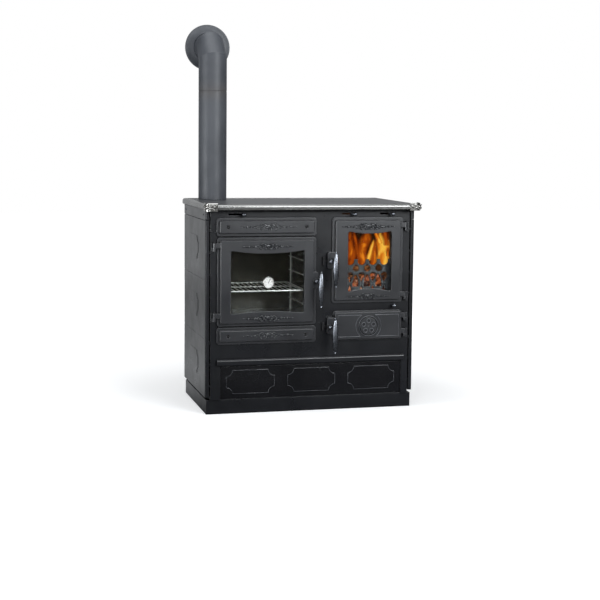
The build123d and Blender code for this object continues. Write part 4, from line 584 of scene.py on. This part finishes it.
# A bead is (across, up, radius), and its profile is for a radius of 1, with its foot sunk into the leaf.
BEADS = ((75, 0, 2.3), (101, 0, 1.7), (12, 13, 1.4), (33, 9, 1.3), (33, -12, 1.2), (10, -12, 1.3))
BEAD_SEAT = 0.6
BEAD_PROFILE = [(1, 0), (0.98, 0.7), (0.8, 1.15), (0.45, 1.45), (0.12, 1.55)]


def curl(u, v, size, start, sweep, thick, inner=0.28, steps=16):
    """A scroll that winds in from its outer end to a bead-like eye."""
    stroke = []
    for t in (n / steps for n in range(steps + 1)):
        angle, reach = radians(start + sweep * t), size * (1 - (1 - inner) * t)
        stroke.append((u + reach * cos(angle), v + reach * sin(angle), thick * (1 - 0.4 * t)))
    return stroke + [(u, v, stroke[-1][2] * 1.7)]


def leaf(u, v, angle, length, thick, bend=0.0):
    """A slim leaf that swells and comes to a point, bent by an angle on the way."""
    stroke = []
    for t in (n / LEAF_STEPS for n in range(LEAF_STEPS + 1)):
        stroke.append((u, v, max(0.25, thick * sin(pi * (0.12 + 0.84 * t)))))
        heading = radians(angle + bend * t)
        u += length / LEAF_STEPS * cos(heading)
        v += length / LEAF_STEPS * sin(heading)
    return stroke


def scroll_ornament(name, node, body, x, z, scale):
    """A symmetrical cast ornament on a leaf's face, half sunk, with its beads set by the tree."""
    front = face_front(node)
    half = [curl(*row) for row in CURLS] + [leaf(*row) for row in LEAVES]
    mirrored = [[(-u, v, r) for u, v, r in stroke] for stroke in half]
    relief = Shape()
    for stroke in [leaf(*row) for row in MIDDLE_LEAVES] + half + mirrored:
        path = [(x + u * scale, front, z + v * scale) for u, v, _ in stroke]
        relief.tube(path, [r * scale * SCROLL_BODY for _, _, r in stroke], 10, SCROLL_RELIEF)
    relief.piece(name, "raised_scrolls", body, "cast_black", CAST_CREASE)
    bead = Shape().turned((0, 0, -BEAD_SEAT), (0, 0, 1), BEAD_PROFILE, 12)
    places = [((x + side * u * scale, front, z + v * scale), FACING_FRONT, r * scale * SCROLL_BODY)
              for u, v, r in BEADS for side in (-1, 1)]
    repeated(name + "_beads", bead, places, "raised_scrolls", body, crease=CAST_CREASE)


def ornaments():
    """A scroll on each cover, and one above and one below the windows of the oven door and the fire door."""
    x = middle("upper_cover").x + 3
    for cover, z, scale in (("upper_cover", 758, 1.0), ("lower_cover", 319, 0.92)):
        scroll_ornament(cover + "_scrolls", cover, "stove", x, z, scale)
    for door, aside, top, foot in (("oven_door", 0, (680, 0.9), (390, 0.9)),
                                   ("fire_door", -8, (757, 0.98), (471, 0.8))):
        x = middle(door + "_glass").x + aside
        scroll_ornament(door + "_scrolls_top", door + "_leaf", door, x, *top)
        scroll_ornament(door + "_scrolls_foot", door + "_leaf", door, x, *foot)


# ---- painted highlight along cast and stamped lines, and painted shade in a groove ----
LINE = 1.3
DRAWER_LINE = 0.9
PETALS = 5
PETAL_RIM = 8.3
PETAL_RING = 22.0
MEDAL = (239.5, 347.0)
MEDAL_RIM = 41.0
MEDAL_GROOVE = 38.0
MEDAL_SCOOP = 54.0
BORDER_EDGES = {-1: 109.0, 1: 370.0}
BORDER_FOOT = 304.0
BORDER_TOP = 393.0
BORDER_DOWN = 2.0
RIM_DOWN = 0.2
CARTOUCHE = (200.0, 96.0)
CARTOUCHE_SCOOP = 26.0
CARTOUCHE_PITCH = 256.0 / 765.0
CARTOUCHE_SHIFT = (-2.0, 2.0)
DRAWER_GAPS = 3.0
DRAWER_LINE_DOWN = 0.5


def outline_bead(shape, points, y, radius):
    """A half-round line that follows a closed outline on a front face."""
    path = [(x, y, z) for x, z in points]
    shape.tube(path + path[:1], [radius] * (len(path) + 1), 8)


def circle_points(x, z, radius, start=0.0, sweep=360.0, steps=36):
    """Points on a circle, or on an arc with both of its ends."""
    angles = [radians(start + sweep * n / steps) for n in range(steps + (sweep < 360))]
    return [(x + radius * cos(angle), z + radius * sin(angle)) for angle in angles]


def corner_arcs(x, z, width, height, radius, start, sweep, steps):
    """An arc round each corner of a rectangle, for rounded corners or for round bites out of them."""
    points = []
    for n, (right, up) in enumerate(((0.5, 0.5), (-0.5, 0.5), (-0.5, -0.5), (0.5, -0.5))):
        points += circle_points(x + right * width, z + up * height, radius, start + 90 * n, sweep, steps)
    return points


def ash_door_lines():
    """Painted highlight on the raised borders with hollow ends, on the ring round the medallion and on a rim
    round each air hole, and painted shade in the medallion's groove.
    """
    x, z = MEDAL
    front = face_front("air_rosette")
    down, up = (asin((end - z) / MEDAL_SCOOP) for end in (BORDER_FOOT, BORDER_TOP))
    angles = [down + (up - down) * n / 20 for n in range(21)]
    lines, groove, petals = Shape(), Shape(), Shape()
    for side, edge in BORDER_EDGES.items():
        arc = [(x + side * MEDAL_SCOOP * cos(angle), z + MEDAL_SCOOP * sin(angle)) for angle in angles]
        outline = [(edge, z), (edge, BORDER_FOOT), *arc, (edge, BORDER_TOP)]
        outline_bead(lines, outline, front + BORDER_DOWN, LINE)
    outline_bead(lines, circle_points(x, z, MEDAL_RIM), front + RIM_DOWN, LINE)
    # A near-black ring in the medallion's groove: painted shade.
    outline_bead(groove, circle_points(x, z, MEDAL_GROOVE), front + RIM_DOWN, LINE)
    for hole in circle_points(x, z, PETAL_RING, 90, steps=PETALS):
        outline_bead(petals, circle_points(*hole, PETAL_RIM, steps=20), front, LINE)
    # Pale beads along the borders and the hole rims: painted highlight.
    lines.piece("ash_door_lines", "door_lines", "ash_door", "cast_black", CAST_CREASE)
    groove.piece("medallion_groove", "groove_soot", "ash_door", "cast_black", CAST_CREASE)
    petals.piece("air_hole_rims", "door_lines", "air_rosette", "cast_black", CAST_CREASE)


def drawer_lines():
    """A thin line of painted highlight that runs round each stamped cartouche of the drawer."""
    low, high = (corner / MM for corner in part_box("drawer_front"))
    x, z = (low.x + high.x) / 2 + CARTOUCHE_SHIFT[0], (low.z + high.z) / 2 + CARTOUCHE_SHIFT[1]
    pitch = (high.x - low.x + DRAWER_GAPS) * CARTOUCHE_PITCH
    lines = Shape()
    for n in (-1, 0, 1):
        outline = corner_arcs(x + n * pitch, z, *CARTOUCHE, CARTOUCHE_SCOOP, 270, -90, 10)
        outline_bead(lines, outline, low.y + DRAWER_LINE_DOWN, DRAWER_LINE)
    lines.piece("drawer_lines", "fine_lines", "wood_drawer", "drawer_enamel", CAST_CREASE)


# ---- handles and knobs ----
GRIP_TIP = 3.2
GRIP_BELLY = 11.9
GRIP_LENGTH = 141.0
GRIP_ABOVE = 40.0
GRIP_OVERHANG = 3.46
PLAIN_GRIP = 12.0
STEM_PROFILE = [(3.4, 0), (3.4, 24)]
STEM_UP = 10.0
GRIP_END = [(0.8, -GRIP_OVERHANG), (2.6, -2.8), (3.8, -1.1), (3.8, 0.8), (2.9, 2.4), (2.7, 4.0), (3.6, 4.6),
            (3.6, 5.6), (2.9, 6.2)]
NUT = 8.0
NUT_PROFILE = [(7.6, 0), (NUT, 0.6), (NUT, 2.4), (7.2, 3.2), (7.6, 4.2), (7.2, 6.6), (5.6, 8.8), (3.2, 9.9),
               (1, 10.1)]
KNOB = 8.7
KNOB_OUT = 25.0
KNOB_PROFILE = [(3.0, -KNOB_OUT - 1), (3.0, -KNOB - 3.2), (5.2, -KNOB - 2.8), (5.2, -KNOB * 0.79),
                *((KNOB * sin(radians(a)), -KNOB * cos(radians(a))) for a in range(38, 178, 10)), (0.3, KNOB)]
DAMPER_KNOB_X = -286.0


def spindle_grip(node, body):
    """The bright spindle with a small ball at each tip, its neck rings, and the domed nut on the shaft."""
    low, high = (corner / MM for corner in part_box(node))
    x, y = high.x - PLAIN_GRIP, low.y + PLAIN_GRIP
    foot = high.z - GRIP_OVERHANG - GRIP_LENGTH
    shaft = foot + GRIP_LENGTH - GRIP_ABOVE
    swell = [(t, GRIP_TIP + (GRIP_BELLY - GRIP_TIP) * sin(pi * t) ** 0.7) for t in (n / 24 for n in range(1, 24))]
    belly = [(radius, GRIP_LENGTH * t) for t, radius in swell]
    top_end = [(radius, GRIP_LENGTH - height) for radius, height in reversed(GRIP_END)]
    grip = Shape()
    grip.turned((x, y, foot), (0, 0, 1), GRIP_END + belly + top_end, 40)
    grip.turned((low.x + NUT, high.y - 0.2, shaft), (0, -1, 0), NUT_PROFILE, 32)
    grip.turned((x, high.y - 1, shaft + STEM_UP), (0, -1, 0), STEM_PROFILE, 16)
    piece = grip.piece(node.replace("grip", "spindle"), "chrome", body, "chrome")
    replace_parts(piece, node)


def slide_knobs():
    """The ball knobs of the damper, the two air slides and the grate shaker, over their plain balls."""
    front = face_front("front_frame")
    inset = KNOB * cos(radians(17))
    for node in ("bypass_damper", "air_slide_left", "air_slide_right", "shaker_rod"):
        low, high = (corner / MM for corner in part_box(node))
        x, z = low.x + inset, low.z + 10
        if node == "shaker_rod":
            x, z = high.x - inset, (low.z + high.z) / 2
        if node == "bypass_damper":
            x, z = DAMPER_KNOB_X, high.z - inset
        knob = Shape().turned((x, front - KNOB_OUT, z), (0, -1, 0), KNOB_PROFILE, 36)
        knob.piece(node + "_knob", "chrome", "grate" if node == "shaker_rod" else node, "chrome")


# ---- flue ----
SEAM_GROOVE = 1.2
PIPE_WALL = 2.0
ELBOW_BEND = 55.0


def mitred(shape, path, radius, wall, sides):
    """A hollow pipe along straight runs in one upright plane, with true oval rings where the runs meet."""
    path = [Vector(point) for point in path]
    runs = [(end - start).normalized() for start, end in zip(path, path[1:])]
    across = Vector((1, 0, 0))
    outer, inner = [], []
    for point, before, after in zip(path, runs[:1] + runs, runs + runs[-1:]):
        normal = (before + after).normalized()
        up = normal.cross(across) / max(0.3, normal.dot(before))
        for size, loops in ((radius, outer), (radius - wall, inner)):
            loops.append(shape.ring(point, across * size, up * size, sides))
    loops = outer + inner[::-1]
    for one, two in zip(loops, loops[1:] + loops[:1]):
        shape.bridge(one, two)


def flue():
    """The painted pipe with the groove of its seam, the mitred elbow, and the dished rosette on the wall."""
    low, high = (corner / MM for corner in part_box("flue_pipe"))
    x, y, _ = (low + high) / 2
    radius = (high.x - low.x) / 2
    groove = radius - SEAM_GROOVE

    def painted(shape, node, crease=CREASE):
        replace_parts(shape.piece(node + "_painted", "pipe_paint", "stove", "pipe_paint", crease), node)

    profile = [(radius - 1.5, low.z), (radius, low.z + 0.8), (radius, PIPE_SEAM - 3), (groove, PIPE_SEAM - 1.5),
               (groove, PIPE_SEAM)]
    painted(Shape().turned((x, y, 0), (0, 0, 1), profile, 72), "flue_pipe")
    elbow_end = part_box("flue_elbow")[1] / MM
    axis = elbow_end.z - radius
    elbow = Shape()
    path = [(x, y, PIPE_SEAM + 0.2), (x, y, axis - ELBOW_BEND), (x, y + ELBOW_BEND, axis), (x, elbow_end.y, axis)]
    mitred(elbow, path, radius, PIPE_WALL, 64)
    painted(elbow, "flue_elbow", 20)
    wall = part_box("wall_rosette")[1] / MM
    rim = wall.x - x
    dish = [(radius + 0.5, 0.5), (radius + 0.5, 13.4), (radius + 2.5, 13.8), (radius + 5, 9), (radius + 14, 6.2),
            (rim - 9, 5.0), (rim - 5, 6.0), (rim - 2, 5.2), (rim - 0.3, 2.6), (rim - 0.3, 0.2), (rim - 4, 0)]
    painted(Shape().turned((x, wall.y, axis), (0, -1, 0), dish, 96), "wall_rosette")


# ---- oven shelf and its ladders ----
RACK_ROD = 2.95
RACK_WIRE = 1.6
RACK_WIRES = 15
RACK_CORNER = 18.0
RACK_ROD_UP = 2.6
RACK_BRACE = 2.4
RACK_SIDE = 3.0
CORNER_STEPS = 8
LADDER_ROD = 2.45
LADDER_INSET = 2.5
LADDER_POSTS = (-190.0, 60.0)
LADDER_RUNGS = (431.0, 491.0, 551.0, 611.0, 671.0)


def oven_shelf():
    """The bright wire shelf: its frame rod, a middle brace and close wires laid on top."""
    low, high = (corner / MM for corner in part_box("oven_rack"))
    x, y, z = (low.x + high.x) / 2, (low.y + high.y) / 2, low.z + RACK_ROD_UP
    width, depth = (side - 2 * (RACK_ROD + RACK_CORNER) for side in (high.x - low.x, high.y - low.y))
    loop = [(*point, z) for point in corner_arcs(x, y, width, depth, RACK_CORNER, 0, 90, CORNER_STEPS)]
    start, turn = (x, low.y + RACK_ROD, z), 3 * (CORNER_STEPS + 1)
    path = [start, *reversed(loop[turn:] + loop[:turn]), start]
    shelf = Shape()
    shelf.tube(path, [RACK_ROD] * len(path), 14)
    shelf.tube([(low.x + RACK_SIDE, y, z), (high.x - RACK_SIDE, y, z)], [RACK_BRACE] * 2, 12)
    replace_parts(shelf.piece("oven_shelf_frame", "shelf_wire", "oven_rack", "chrome"), "oven_rack")
    reach = (high.y - low.y) / 2 - RACK_SIDE
    wire = Shape().tube([(0, -reach, 0), (0, reach, 0)], [RACK_WIRE] * 2, 8)
    pitch = (high.x - low.x - 2 * RACK_SIDE) / (RACK_WIRES + 1)
    places = [((low.x + RACK_SIDE + pitch * n, y, high.z - RACK_WIRE - 0.1), (0, 0, 0), 1.0)
              for n in range(1, RACK_WIRES + 1)]
    repeated("oven_shelf_wires", wire, places, "shelf_wire", "oven_rack")


def oven_side_ladders():
    """The wire ladders that the shelf slides on, one on each wall of the oven."""
    low, high = (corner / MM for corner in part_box("oven_ladders"))
    ladders = Shape()
    for x in (low.x + LADDER_INSET, high.x - LADDER_INSET):
        posts = [((x, y, low.z), (x, y, high.z)) for y in LADDER_POSTS]
        rungs = [((x, low.y, z), (x, high.y, z)) for z in LADDER_RUNGS]
        for ends in posts + rungs:
            ladders.tube(ends, [LADDER_ROD] * 2, 12)
    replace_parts(ladders.piece("oven_side_ladders", "shelf_wire", "stove", "chrome"), "oven_ladders")


# ---- thermometer dial ----
DIAL_MARKS = 26
DIAL_SWEEP = 270.0
NUMBER_RING = 13.4
NUMBER_HEIGHT = 4.6
PRINT = 0.12


def dial_print():
    """Fine and long marks round the dial, and its plain numbers."""
    low, high = (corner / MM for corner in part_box("thermometer_dial"))
    centre = (low + high) / 2

    def on_dial(share, reach):
        angle = radians(DIAL_SWEEP * (share - 0.5))
        return (centre.x + reach * sin(angle), high.y - 1.0, centre.z + reach * cos(angle)), (0, angle, 0)

    for name, width, length, reach, is_long in (("dial_fine_marks", 0.22, 1.2, 19.6, False),
                                                ("dial_long_marks", 0.42, 2.0, 18.8, True)):
        mark = Shape().block((-width, -PRINT, -length), (width, 0.1, length))
        places = [(*on_dial(n / (DIAL_MARKS - 1), reach), 1.0)
                  for n in range(DIAL_MARKS) if (n % 5 == 0) == is_long]
        repeated(name, mark, places, "ink", "oven_door")
    for n in range(6):
        text = bpy.data.curves.new(f"dial_number_{n}", "FONT")
        with_settings(text, body=str(50 + 50 * n), size=NUMBER_HEIGHT * MM, align_x="CENTER", align_y="CENTER",
                      extrude=PRINT / 2 * MM)
        stood_up(text, on_dial(n / 5, NUMBER_RING)[0], "ink", "oven_door")


# ---- fire guard ----
GUARD_MIDDLE = 243.5
GUARD_PITCH = 49.0
GUARD_POST = 14.0
GUARD_POSTS = 5
GUARD_BAND_TOP = 595.0
GUARD_ROUNDING = 1.6
GUARD_EDGE = 15.0
# A drop is (middle height, radius, height of its tip) and an arch (foot, width, height).
POST_DROP = (581.5, 13.5, 600.0)
POST_ARCH = (506.0, 27.0, 52.0)
GAP_DROPS = ((552.0, 13.5, 523.0), (493.0, 7.0, 514.0))


def drop_opening(x, z, radius, tip):
    """A round hole drawn out to a point straight above or below it."""
    way = 1 if tip > z else -1
    start = degrees(acos(radius / abs(tip - z)))
    return circle_points(x, z, radius, way * (90 - start), way * 2 * (start - 180), 28) + [(x, tip)]


def arch_opening(x, foot, width, height):
    """A tall arch that narrows to a soft point."""
    side = [(width / 2 * (1 - t * t) ** 0.62, foot + height * t) for t in (n / 14 for n in range(15))]
    return [(x + half, z) for half, z in side] + [(x - half, z) for half, z in reversed(side[:-1])]


def guard_outline(low, high):
    """The guard's plate with deep round dips between its posts."""
    dip = (GUARD_PITCH - GUARD_POST) / 2
    first = GUARD_MIDDLE - (GUARD_POSTS - 1) / 2 * GUARD_PITCH
    outline = [(high.x, low.z), (low.x, low.z), (low.x, GUARD_BAND_TOP),
               (first - GUARD_POST / 2, GUARD_BAND_TOP + dip)]
    for post in (first + n * GUARD_PITCH for n in range(GUARD_POSTS)):
        if post > first:
            outline += circle_points(post - GUARD_PITCH / 2, GUARD_BAND_TOP + dip, dip, 180, 180, 18)
        outline += [(post - GUARD_POST / 2, high.z), (post + GUARD_POST / 2, high.z)]
    return outline + [(high.x, high.z - 6)]


def guard_casting():
    """The cast guard behind the fire door, rounded on every edge, with its drops and arches."""
    low, high = (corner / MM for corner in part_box("fire_guard"))
    lines = [guard_outline(low, high)]
    for post in (GUARD_MIDDLE + n * GUARD_PITCH for n in (-2, -1, 0, 1, 2)):
        if post + GUARD_EDGE < high.x:
            lines += drop_opening(post, *POST_DROP), arch_opening(post, *POST_ARCH)
    for gap in (GUARD_MIDDLE + n * GUARD_PITCH for n in (-1.5, -0.5, 0.5, 1.5)):
        lines += [drop_opening(gap, *drop) for drop in GAP_DROPS]
    web = bpy.data.curves.new("fire_guard_casting", "CURVE")
    with_settings(web, dimensions="2D", fill_mode="BOTH", bevel_resolution=2, bevel_depth=GUARD_ROUNDING * MM,
                  offset=-GUARD_ROUNDING * MM, extrude=((high.y - low.y) / 2 - GUARD_ROUNDING) * MM)
    for line in lines:
        spline = web.splines.new("POLY")
        spline.points.add(len(line) - 1)
        spline.points.foreach_set("co", [value for x, z in line for value in (x * MM, z * MM, 0.0, 1.0)])
        spline.use_cyclic_u = True
    casting = stood_up(web, (0, (low.y + high.y) / 2, 0), "guard_iron", "stove")
    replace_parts(casting, "fire_guard")


# ---- the fire ----
FLAME_DEPTH = -192.0
FLAME_SWAY = 10.0
FLAME_SPREAD = 1.85
FLAME_FLATNESS = 0.35
# The heat of each tongue, and its (across, up, half width) from its foot to its tip.
FLAMES = (
    (0.42, ((183, 590, 12), (183, 608, 15), (184, 628, 16), (183, 648, 14), (178, 670, 12), (176, 691, 10),
            (177, 713, 12), (178, 735, 7))),
    (0.35, ((215, 589, 8), (214, 619, 11), (212, 647, 11), (208, 673, 9), (203, 695, 8), (197, 715, 7),
            (195, 736, 4))),
    (0.62, ((228, 590, 7), (231, 608, 10), (230, 628, 13), (229, 648, 14), (231, 668, 15), (236, 686, 16),
            (242, 703, 16), (246, 720, 12), (248, 740, 6))),
    (0.85, ((240, 598, 4), (238, 612, 6), (234, 629, 7), (231, 643, 6), (229, 660, 2))),
    (0.9, ((251, 608, 9), (257, 622, 9), (263, 637, 7), (268, 653, 6), (273, 669, 6), (277, 684, 5),
           (280, 700, 2))),
    (0.5, ((275, 589, 11), (279, 607, 10), (283, 631, 10), (285, 651, 9), (285, 671, 7), (283, 692, 2))),
    (0.95, ((293, 594, 6), (293, 612, 15), (297, 628, 21), (308, 644, 26), (317, 658, 27), (323, 672, 25),
            (324, 686, 22), (320, 701, 16), (313, 716, 10), (306, 734, 3))),
    (0.75, ((306, 680, 6), (299, 697, 7), (291, 712, 6), (285, 726, 5), (280, 740, 2))),
    (0.45, ((334, 670, 9), (333, 694, 10), (330, 714, 11), (327, 735, 8))),
    (1.0, ((329, 586, 9), (329, 602, 12), (329, 618, 13), (330, 636, 11), (331, 656, 5))),
    (0.4, ((340, 627, 5), (339, 647, 4), (341, 666, 2))),
)
# The two ends and the radius of each log.
LOGS = (((132, -70, 500), (338, -50, 520), 26), ((128, 20, 492), (345, 0, 500), 30),
        ((150, -20, 545), (330, -62, 556), 22))
LOG_STEPS = 14
EMBER_COUNT = 230
EMBER_SIDES = (128, 344)
EMBER_ENDS = (-206, 60)
EMBER_FOOT = 455
EMBER_TOP = 520
# The heap is higher in front of this depth.
EMBER_FRONT = -150
EMBER_FRONT_TOP = 548
EMBER_PROFILE = [(0.45, -0.8), (0.85, -0.45), (1.0, 0.05), (0.78, 0.55), (0.35, 0.85)]


def smoothed(points, per_span):
    """More points on a smooth curve through the given ones."""
    out = []
    last = len(points) - 1
    for n in range(last):
        a, b, c, d = (Vector(points[max(0, min(last, n + k))]) for k in (-1, 0, 1, 2))
        for t in (k / per_span for k in range(per_span)):
            bent = (2 * a - 5 * b + 4 * c - d) * t * t + (3 * b - a - 3 * c + d) * t ** 3
            out.append(0.5 * (2 * b + (c - a) * t + bent))
    return out + [Vector(points[-1])]


def flames():
    """Tongues of flame as thin closed leaves, widest in the middle, each with its own depth in the fire."""
    for number, (heat, outline) in enumerate(FLAMES):
        spine = [(x, z, max(0.6, half)) for x, z, half in smoothed(outline, 6)]
        depth = FLAME_DEPTH + FLAME_SWAY * sin(number * 2.4)
        tongue = Shape()
        loops = []
        for x, z, half in spine:
            across, deep = Vector((half * FLAME_SPREAD, 0, 0)), Vector((0, half * FLAME_FLATNESS, 0))
            loops.append(tongue.ring(Vector((x, depth, z)), across, deep, 16))
        tongue.skin(loops, *(Vector((x, depth, z)) for x, z, _ in (spine[0], spine[-1])))
        mesh = tongue.mesh(f"flame_{number + 1}", "flame_glow", 180)
        across, along = [], []
        for vert in mesh.vertices:
            point = vert.co / MM
            nearest = min(range(len(spine)), key=lambda k: abs(spine[k][1] - point.z))
            x, _, half = spine[nearest]
            across.append(min(1.0, abs(point.x - x) / (half * FLAME_SPREAD)))
            along.append(nearest / (len(spine) - 1))
        for key, values in (("flame_u", across), ("flame_v", along), ("flame_heat", [heat] * len(across))):
            mesh.attributes.new(key, "FLOAT", "POINT").data.foreach_set("value", values)
        settle(mesh, mesh.name, "stove")


def fire_bed():
    """Charred logs on a heap of embers behind the guard."""
    dice = random.Random(11)
    for number, (start, end, radius) in enumerate(LOGS):
        start, end = Vector(start), Vector(end)
        path = [start.lerp(end, n / LOG_STEPS) + Vector((0, dice.uniform(-2, 2), dice.uniform(-2, 2)))
                for n in range(LOG_STEPS + 1)]
        radii = [radius * dice.uniform(0.9, 1.06) for _ in path]
        radii[0] = radii[-1] = radius * 0.8
        log = Shape().tube(path, radii, 20)
        log.piece(f"burning_log_{number + 1}", "charred_log", "stove", "fire_brick", CAST_CREASE)
    coal = Shape().turned((0, 0, 0), (0, 0, 1), EMBER_PROFILE, 7)
    coal.points = [point * (1 + 0.13 * sin(n * 4.7)) for n, point in enumerate(coal.points)]
    places = []
    for _ in range(EMBER_COUNT):
        x, y = dice.uniform(*EMBER_SIDES), dice.uniform(*EMBER_ENDS)
        top = EMBER_FRONT_TOP if y < EMBER_FRONT else EMBER_TOP
        turn = tuple(dice.uniform(0, 2 * pi) for _ in range(3))
        z = EMBER_FOOT + (top - EMBER_FOOT) * dice.random() ** 0.6
        places.append(((x, y, z), turn, dice.uniform(9, 15)))
    repeated("embers", coal, places, "embers", "stove", 0.3, 5, CAST_CREASE)


def unseen_lamp(name, kind, place, **settings):
    """A lamp that the camera doesn't see itself."""
    lamp = placed(name, with_settings(bpy.data.lights.new(name, kind), **settings))
    return with_settings(lamp, location=place, visible_camera=False)


def hidden_lamp(name, place, power, colour):
    """A small lamp that lights the inside of a chamber and shows in no glass or metal."""
    lamp = unseen_lamp(name, "POINT", place, color=colour, energy=power, shadow_soft_size=0.05)
    with_settings(lamp, visible_transmission=False, visible_glossy=False)


# ---- nickel corner castings ----
CORNER_FACE = 3.2
CORNER_MIDDLE = 30.5
BOSS_INSET = 9.0
BOSS_PROFILE = [(7, -1), (7, 0.5), (5.2, 2.4), (2.4, 3.3), (0.5, 3.5)]


def corner_scrolls():
    """Raised curls and a boss on both faces of each front corner of the hob rail."""
    low, high = (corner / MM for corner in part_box("hob_corners"))
    z = (low.z + high.z) / 2
    strokes = [curl(0, 3, 9, 200, 380, 1.9, 0.3, 14), curl(15, -3, 8, 20, -380, 1.8, 0.3, 14),
               leaf(-10, -9, 15, 34, 1.7, 20), leaf(-8, 11, -8, 32, 1.6, -16), leaf(22, 5, 60, 9, 1.6, -50),
               leaf(-14, 0, 100, 10, 1.8, -30)]
    relief = Shape()
    for side, edge in ((-1, low.x), (1, high.x)):
        for stroke in strokes:
            radii = [r for _, _, r in stroke]
            relief.tube([(edge - side * (CORNER_MIDDLE - u), low.y + CORNER_FACE, z + v) for u, v, _ in stroke],
                        radii, 8)
            relief.tube([(edge - side * CORNER_FACE, low.y + CORNER_MIDDLE - u, z + v) for u, v, _ in stroke],
                        radii, 8)
        relief.turned((edge - side * BOSS_INSET, low.y + BOSS_INSET, z), (side, -1, 0), BOSS_PROFILE, 24)
    relief.piece("corner_scrolls", "nickel", "stove", "nickel", CAST_CREASE)


# ---- small screws ----
SCREW_PROFILE = [(1, 0), (1, 0.32), (0.82, 0.62), (0.45, 0.78), (0.1, 0.8)]
FRAME_SCREWS = ((33, 362), (69, 379), (-216, 718), (52, 800), (-400, 770), (411, 270))
STRIP_SCREWS = (-205.0, 205.0)
STRIP_SCREW_Z = 806
FRAME_SCREW = 3.2
STRIP_SCREW = 4.2
STRIP_DOWN = 1.5


def small_screws():
    """Screw heads on the frame and on the strips above the side panels."""
    head = Shape().turned((0, 0, -0.4), (0, 0, 1), SCREW_PROFILE, 16)
    front = face_front("front_frame")
    left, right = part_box("side_panel_left")[0].x / MM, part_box("side_panel_right")[1].x / MM
    places = [((x, front, z), FACING_FRONT, FRAME_SCREW) for x, z in FRAME_SCREWS]
    for y in STRIP_SCREWS:
        places.append(((left + STRIP_DOWN, y, STRIP_SCREW_Z), (0, -pi / 2, 0), STRIP_SCREW))
        places.append(((right - STRIP_DOWN, y, STRIP_SCREW_Z), (0, pi / 2, 0), STRIP_SCREW))
    repeated("small_screws", head, places, "dark_steel", "stove", crease=CAST_CREASE)


ornaments()
ash_door_lines()
drawer_lines()
for handle in ("oven_handle", "fire_handle", "ash_handle"):
    spindle_grip(handle + "_grip", handle)
slide_knobs()
flue()
oven_shelf()
oven_side_ladders()
dial_print()
guard_casting()
flames()
fire_bed()
hidden_lamp("fire_light", (0.24, -0.06, 0.66), 1.5, (1.0, 0.42, 0.12))
corner_scrolls()
small_screws()


# ---- studio ----
ROOM_LEVEL = 0.13
FLOOR_REACH = 14.0
EYE = (-1.4045, -5.4114, 1.112)
YAW, PITCH, ROLL = radians(14.704), radians(5.678), radians(0.542)


def studio_floor():
    """Near white for the camera with the object's shadow, dark in mirrors, brighter with distance: no horizon."""
    finish = Finish("pale_floor", {"Roughness": 0.9, "Specular IOR Level": 0.0, "Emission Color": (1, 1, 1)})
    seen_by = finish.add("LightPath").outputs
    far = finish.add("VectorMath", {0: finish.place}, operation="LENGTH").outputs["Value"]
    mirrored = finish.span(finish.axis("Y"), -1.0, 1.4)
    mirrored = finish.ramp(mirrored, (0.25, (0.08, 0.08, 0.08)), (0.65, (0.75, 0.75, 0.75)))
    finish.colour(finish.mix(seen_by["Is Glossy Ray"], (0.8, 0.8, 0.8), mirrored))
    glow = finish.times(finish.span(far, 0.7, 2.6, 0.42, 1.0), seen_by["Is Camera Ray"])
    finish.set("Emission Strength", glow)
    return finish.material


def floor():
    mesh = bpy.data.meshes.new("floor")
    corners = [(x * FLOOR_REACH, y * FLOOR_REACH, 0) for x, y in ((-1, -1), (1, -1), (1, 1), (-1, 1))]
    mesh.from_pydata(corners, [], [(0, 1, 2, 3)])
    mesh.materials.append(studio_floor())
    placed("floor", mesh)


def world():
    """White for the camera and a dim room for everything else, so that dark enamel stays dark."""
    sky = bpy.data.worlds.new("studio")
    sky.use_nodes = True
    tree = sky.node_tree
    seen = new_node(tree, "ShaderNodeLightPath").outputs["Is Camera Ray"]
    level = new_node(tree, "ShaderNodeMapRange", {"Value": seen, "To Min": ROOM_LEVEL, "To Max": 1.0})
    feed(tree, tree.nodes["Background"].inputs["Strength"], level.outputs[0])
    feed(tree, tree.nodes["Background"].inputs["Color"], (1, 1, 1))
    bpy.context.scene.world = sky


def camera():
    """The photograph's viewpoint, fitted to the corners of the body and the hob."""
    lens = bpy.data.cameras.new("camera")
    eye = placed("camera", with_settings(lens, sensor_width=36.0, lens=79.35, shift_y=-0.05, clip_end=60.0))
    turn = Matrix.Rotation(-YAW, 4, "Z") @ Matrix.Rotation(pi / 2 - PITCH, 4, "X") @ Matrix.Rotation(ROLL, 4, "Z")
    eye.matrix_world = Matrix.Translation(EYE) @ turn
    bpy.context.scene.camera = eye


def softbox(name, place, target, size, power):
    lamp = unseen_lamp(name, "AREA", place, shape="RECTANGLE", size=size[0], size_y=size[1], energy=power,
                       color=(0.94, 0.97, 1.0))
    lamp.rotation_euler = (Vector(target) - Vector(place)).to_track_quat("-Z", "Y").to_euler()


bpy.context.scene.view_settings.view_transform = "Standard"
floor()
world()
camera()
softbox("top_box", (-0.2, -0.5, 3.4), (0, 0, 0.8), (3.0, 2.2), 62)
softbox("left_card", (-4.0, -0.6, 1.3), (0, 0, 0.7), (3.4, 2.6), 36)
softbox("edge_light", (-3.6, -1.1, 0.72), (-0.2, -0.25, 0.6), (0.8, 0.95), 32)
softbox("back_card", (0.3, 4.6, 1.5), (0, 0, 0.8), (6.0, 3.0), 22)
softbox("tall_box", (-1.8, -4.0, 1.5), (-0.2, 0, 0.9), (0.8, 2.4), 34)
softbox("front_box", (1.75, -4.1, 1.95), (0.15, 0, 0.7), (2.4, 1.3), 135)
hidden_lamp("oven_light", (-0.3, -0.19, 0.66), 0.11, (1.0, 0.95, 0.85))
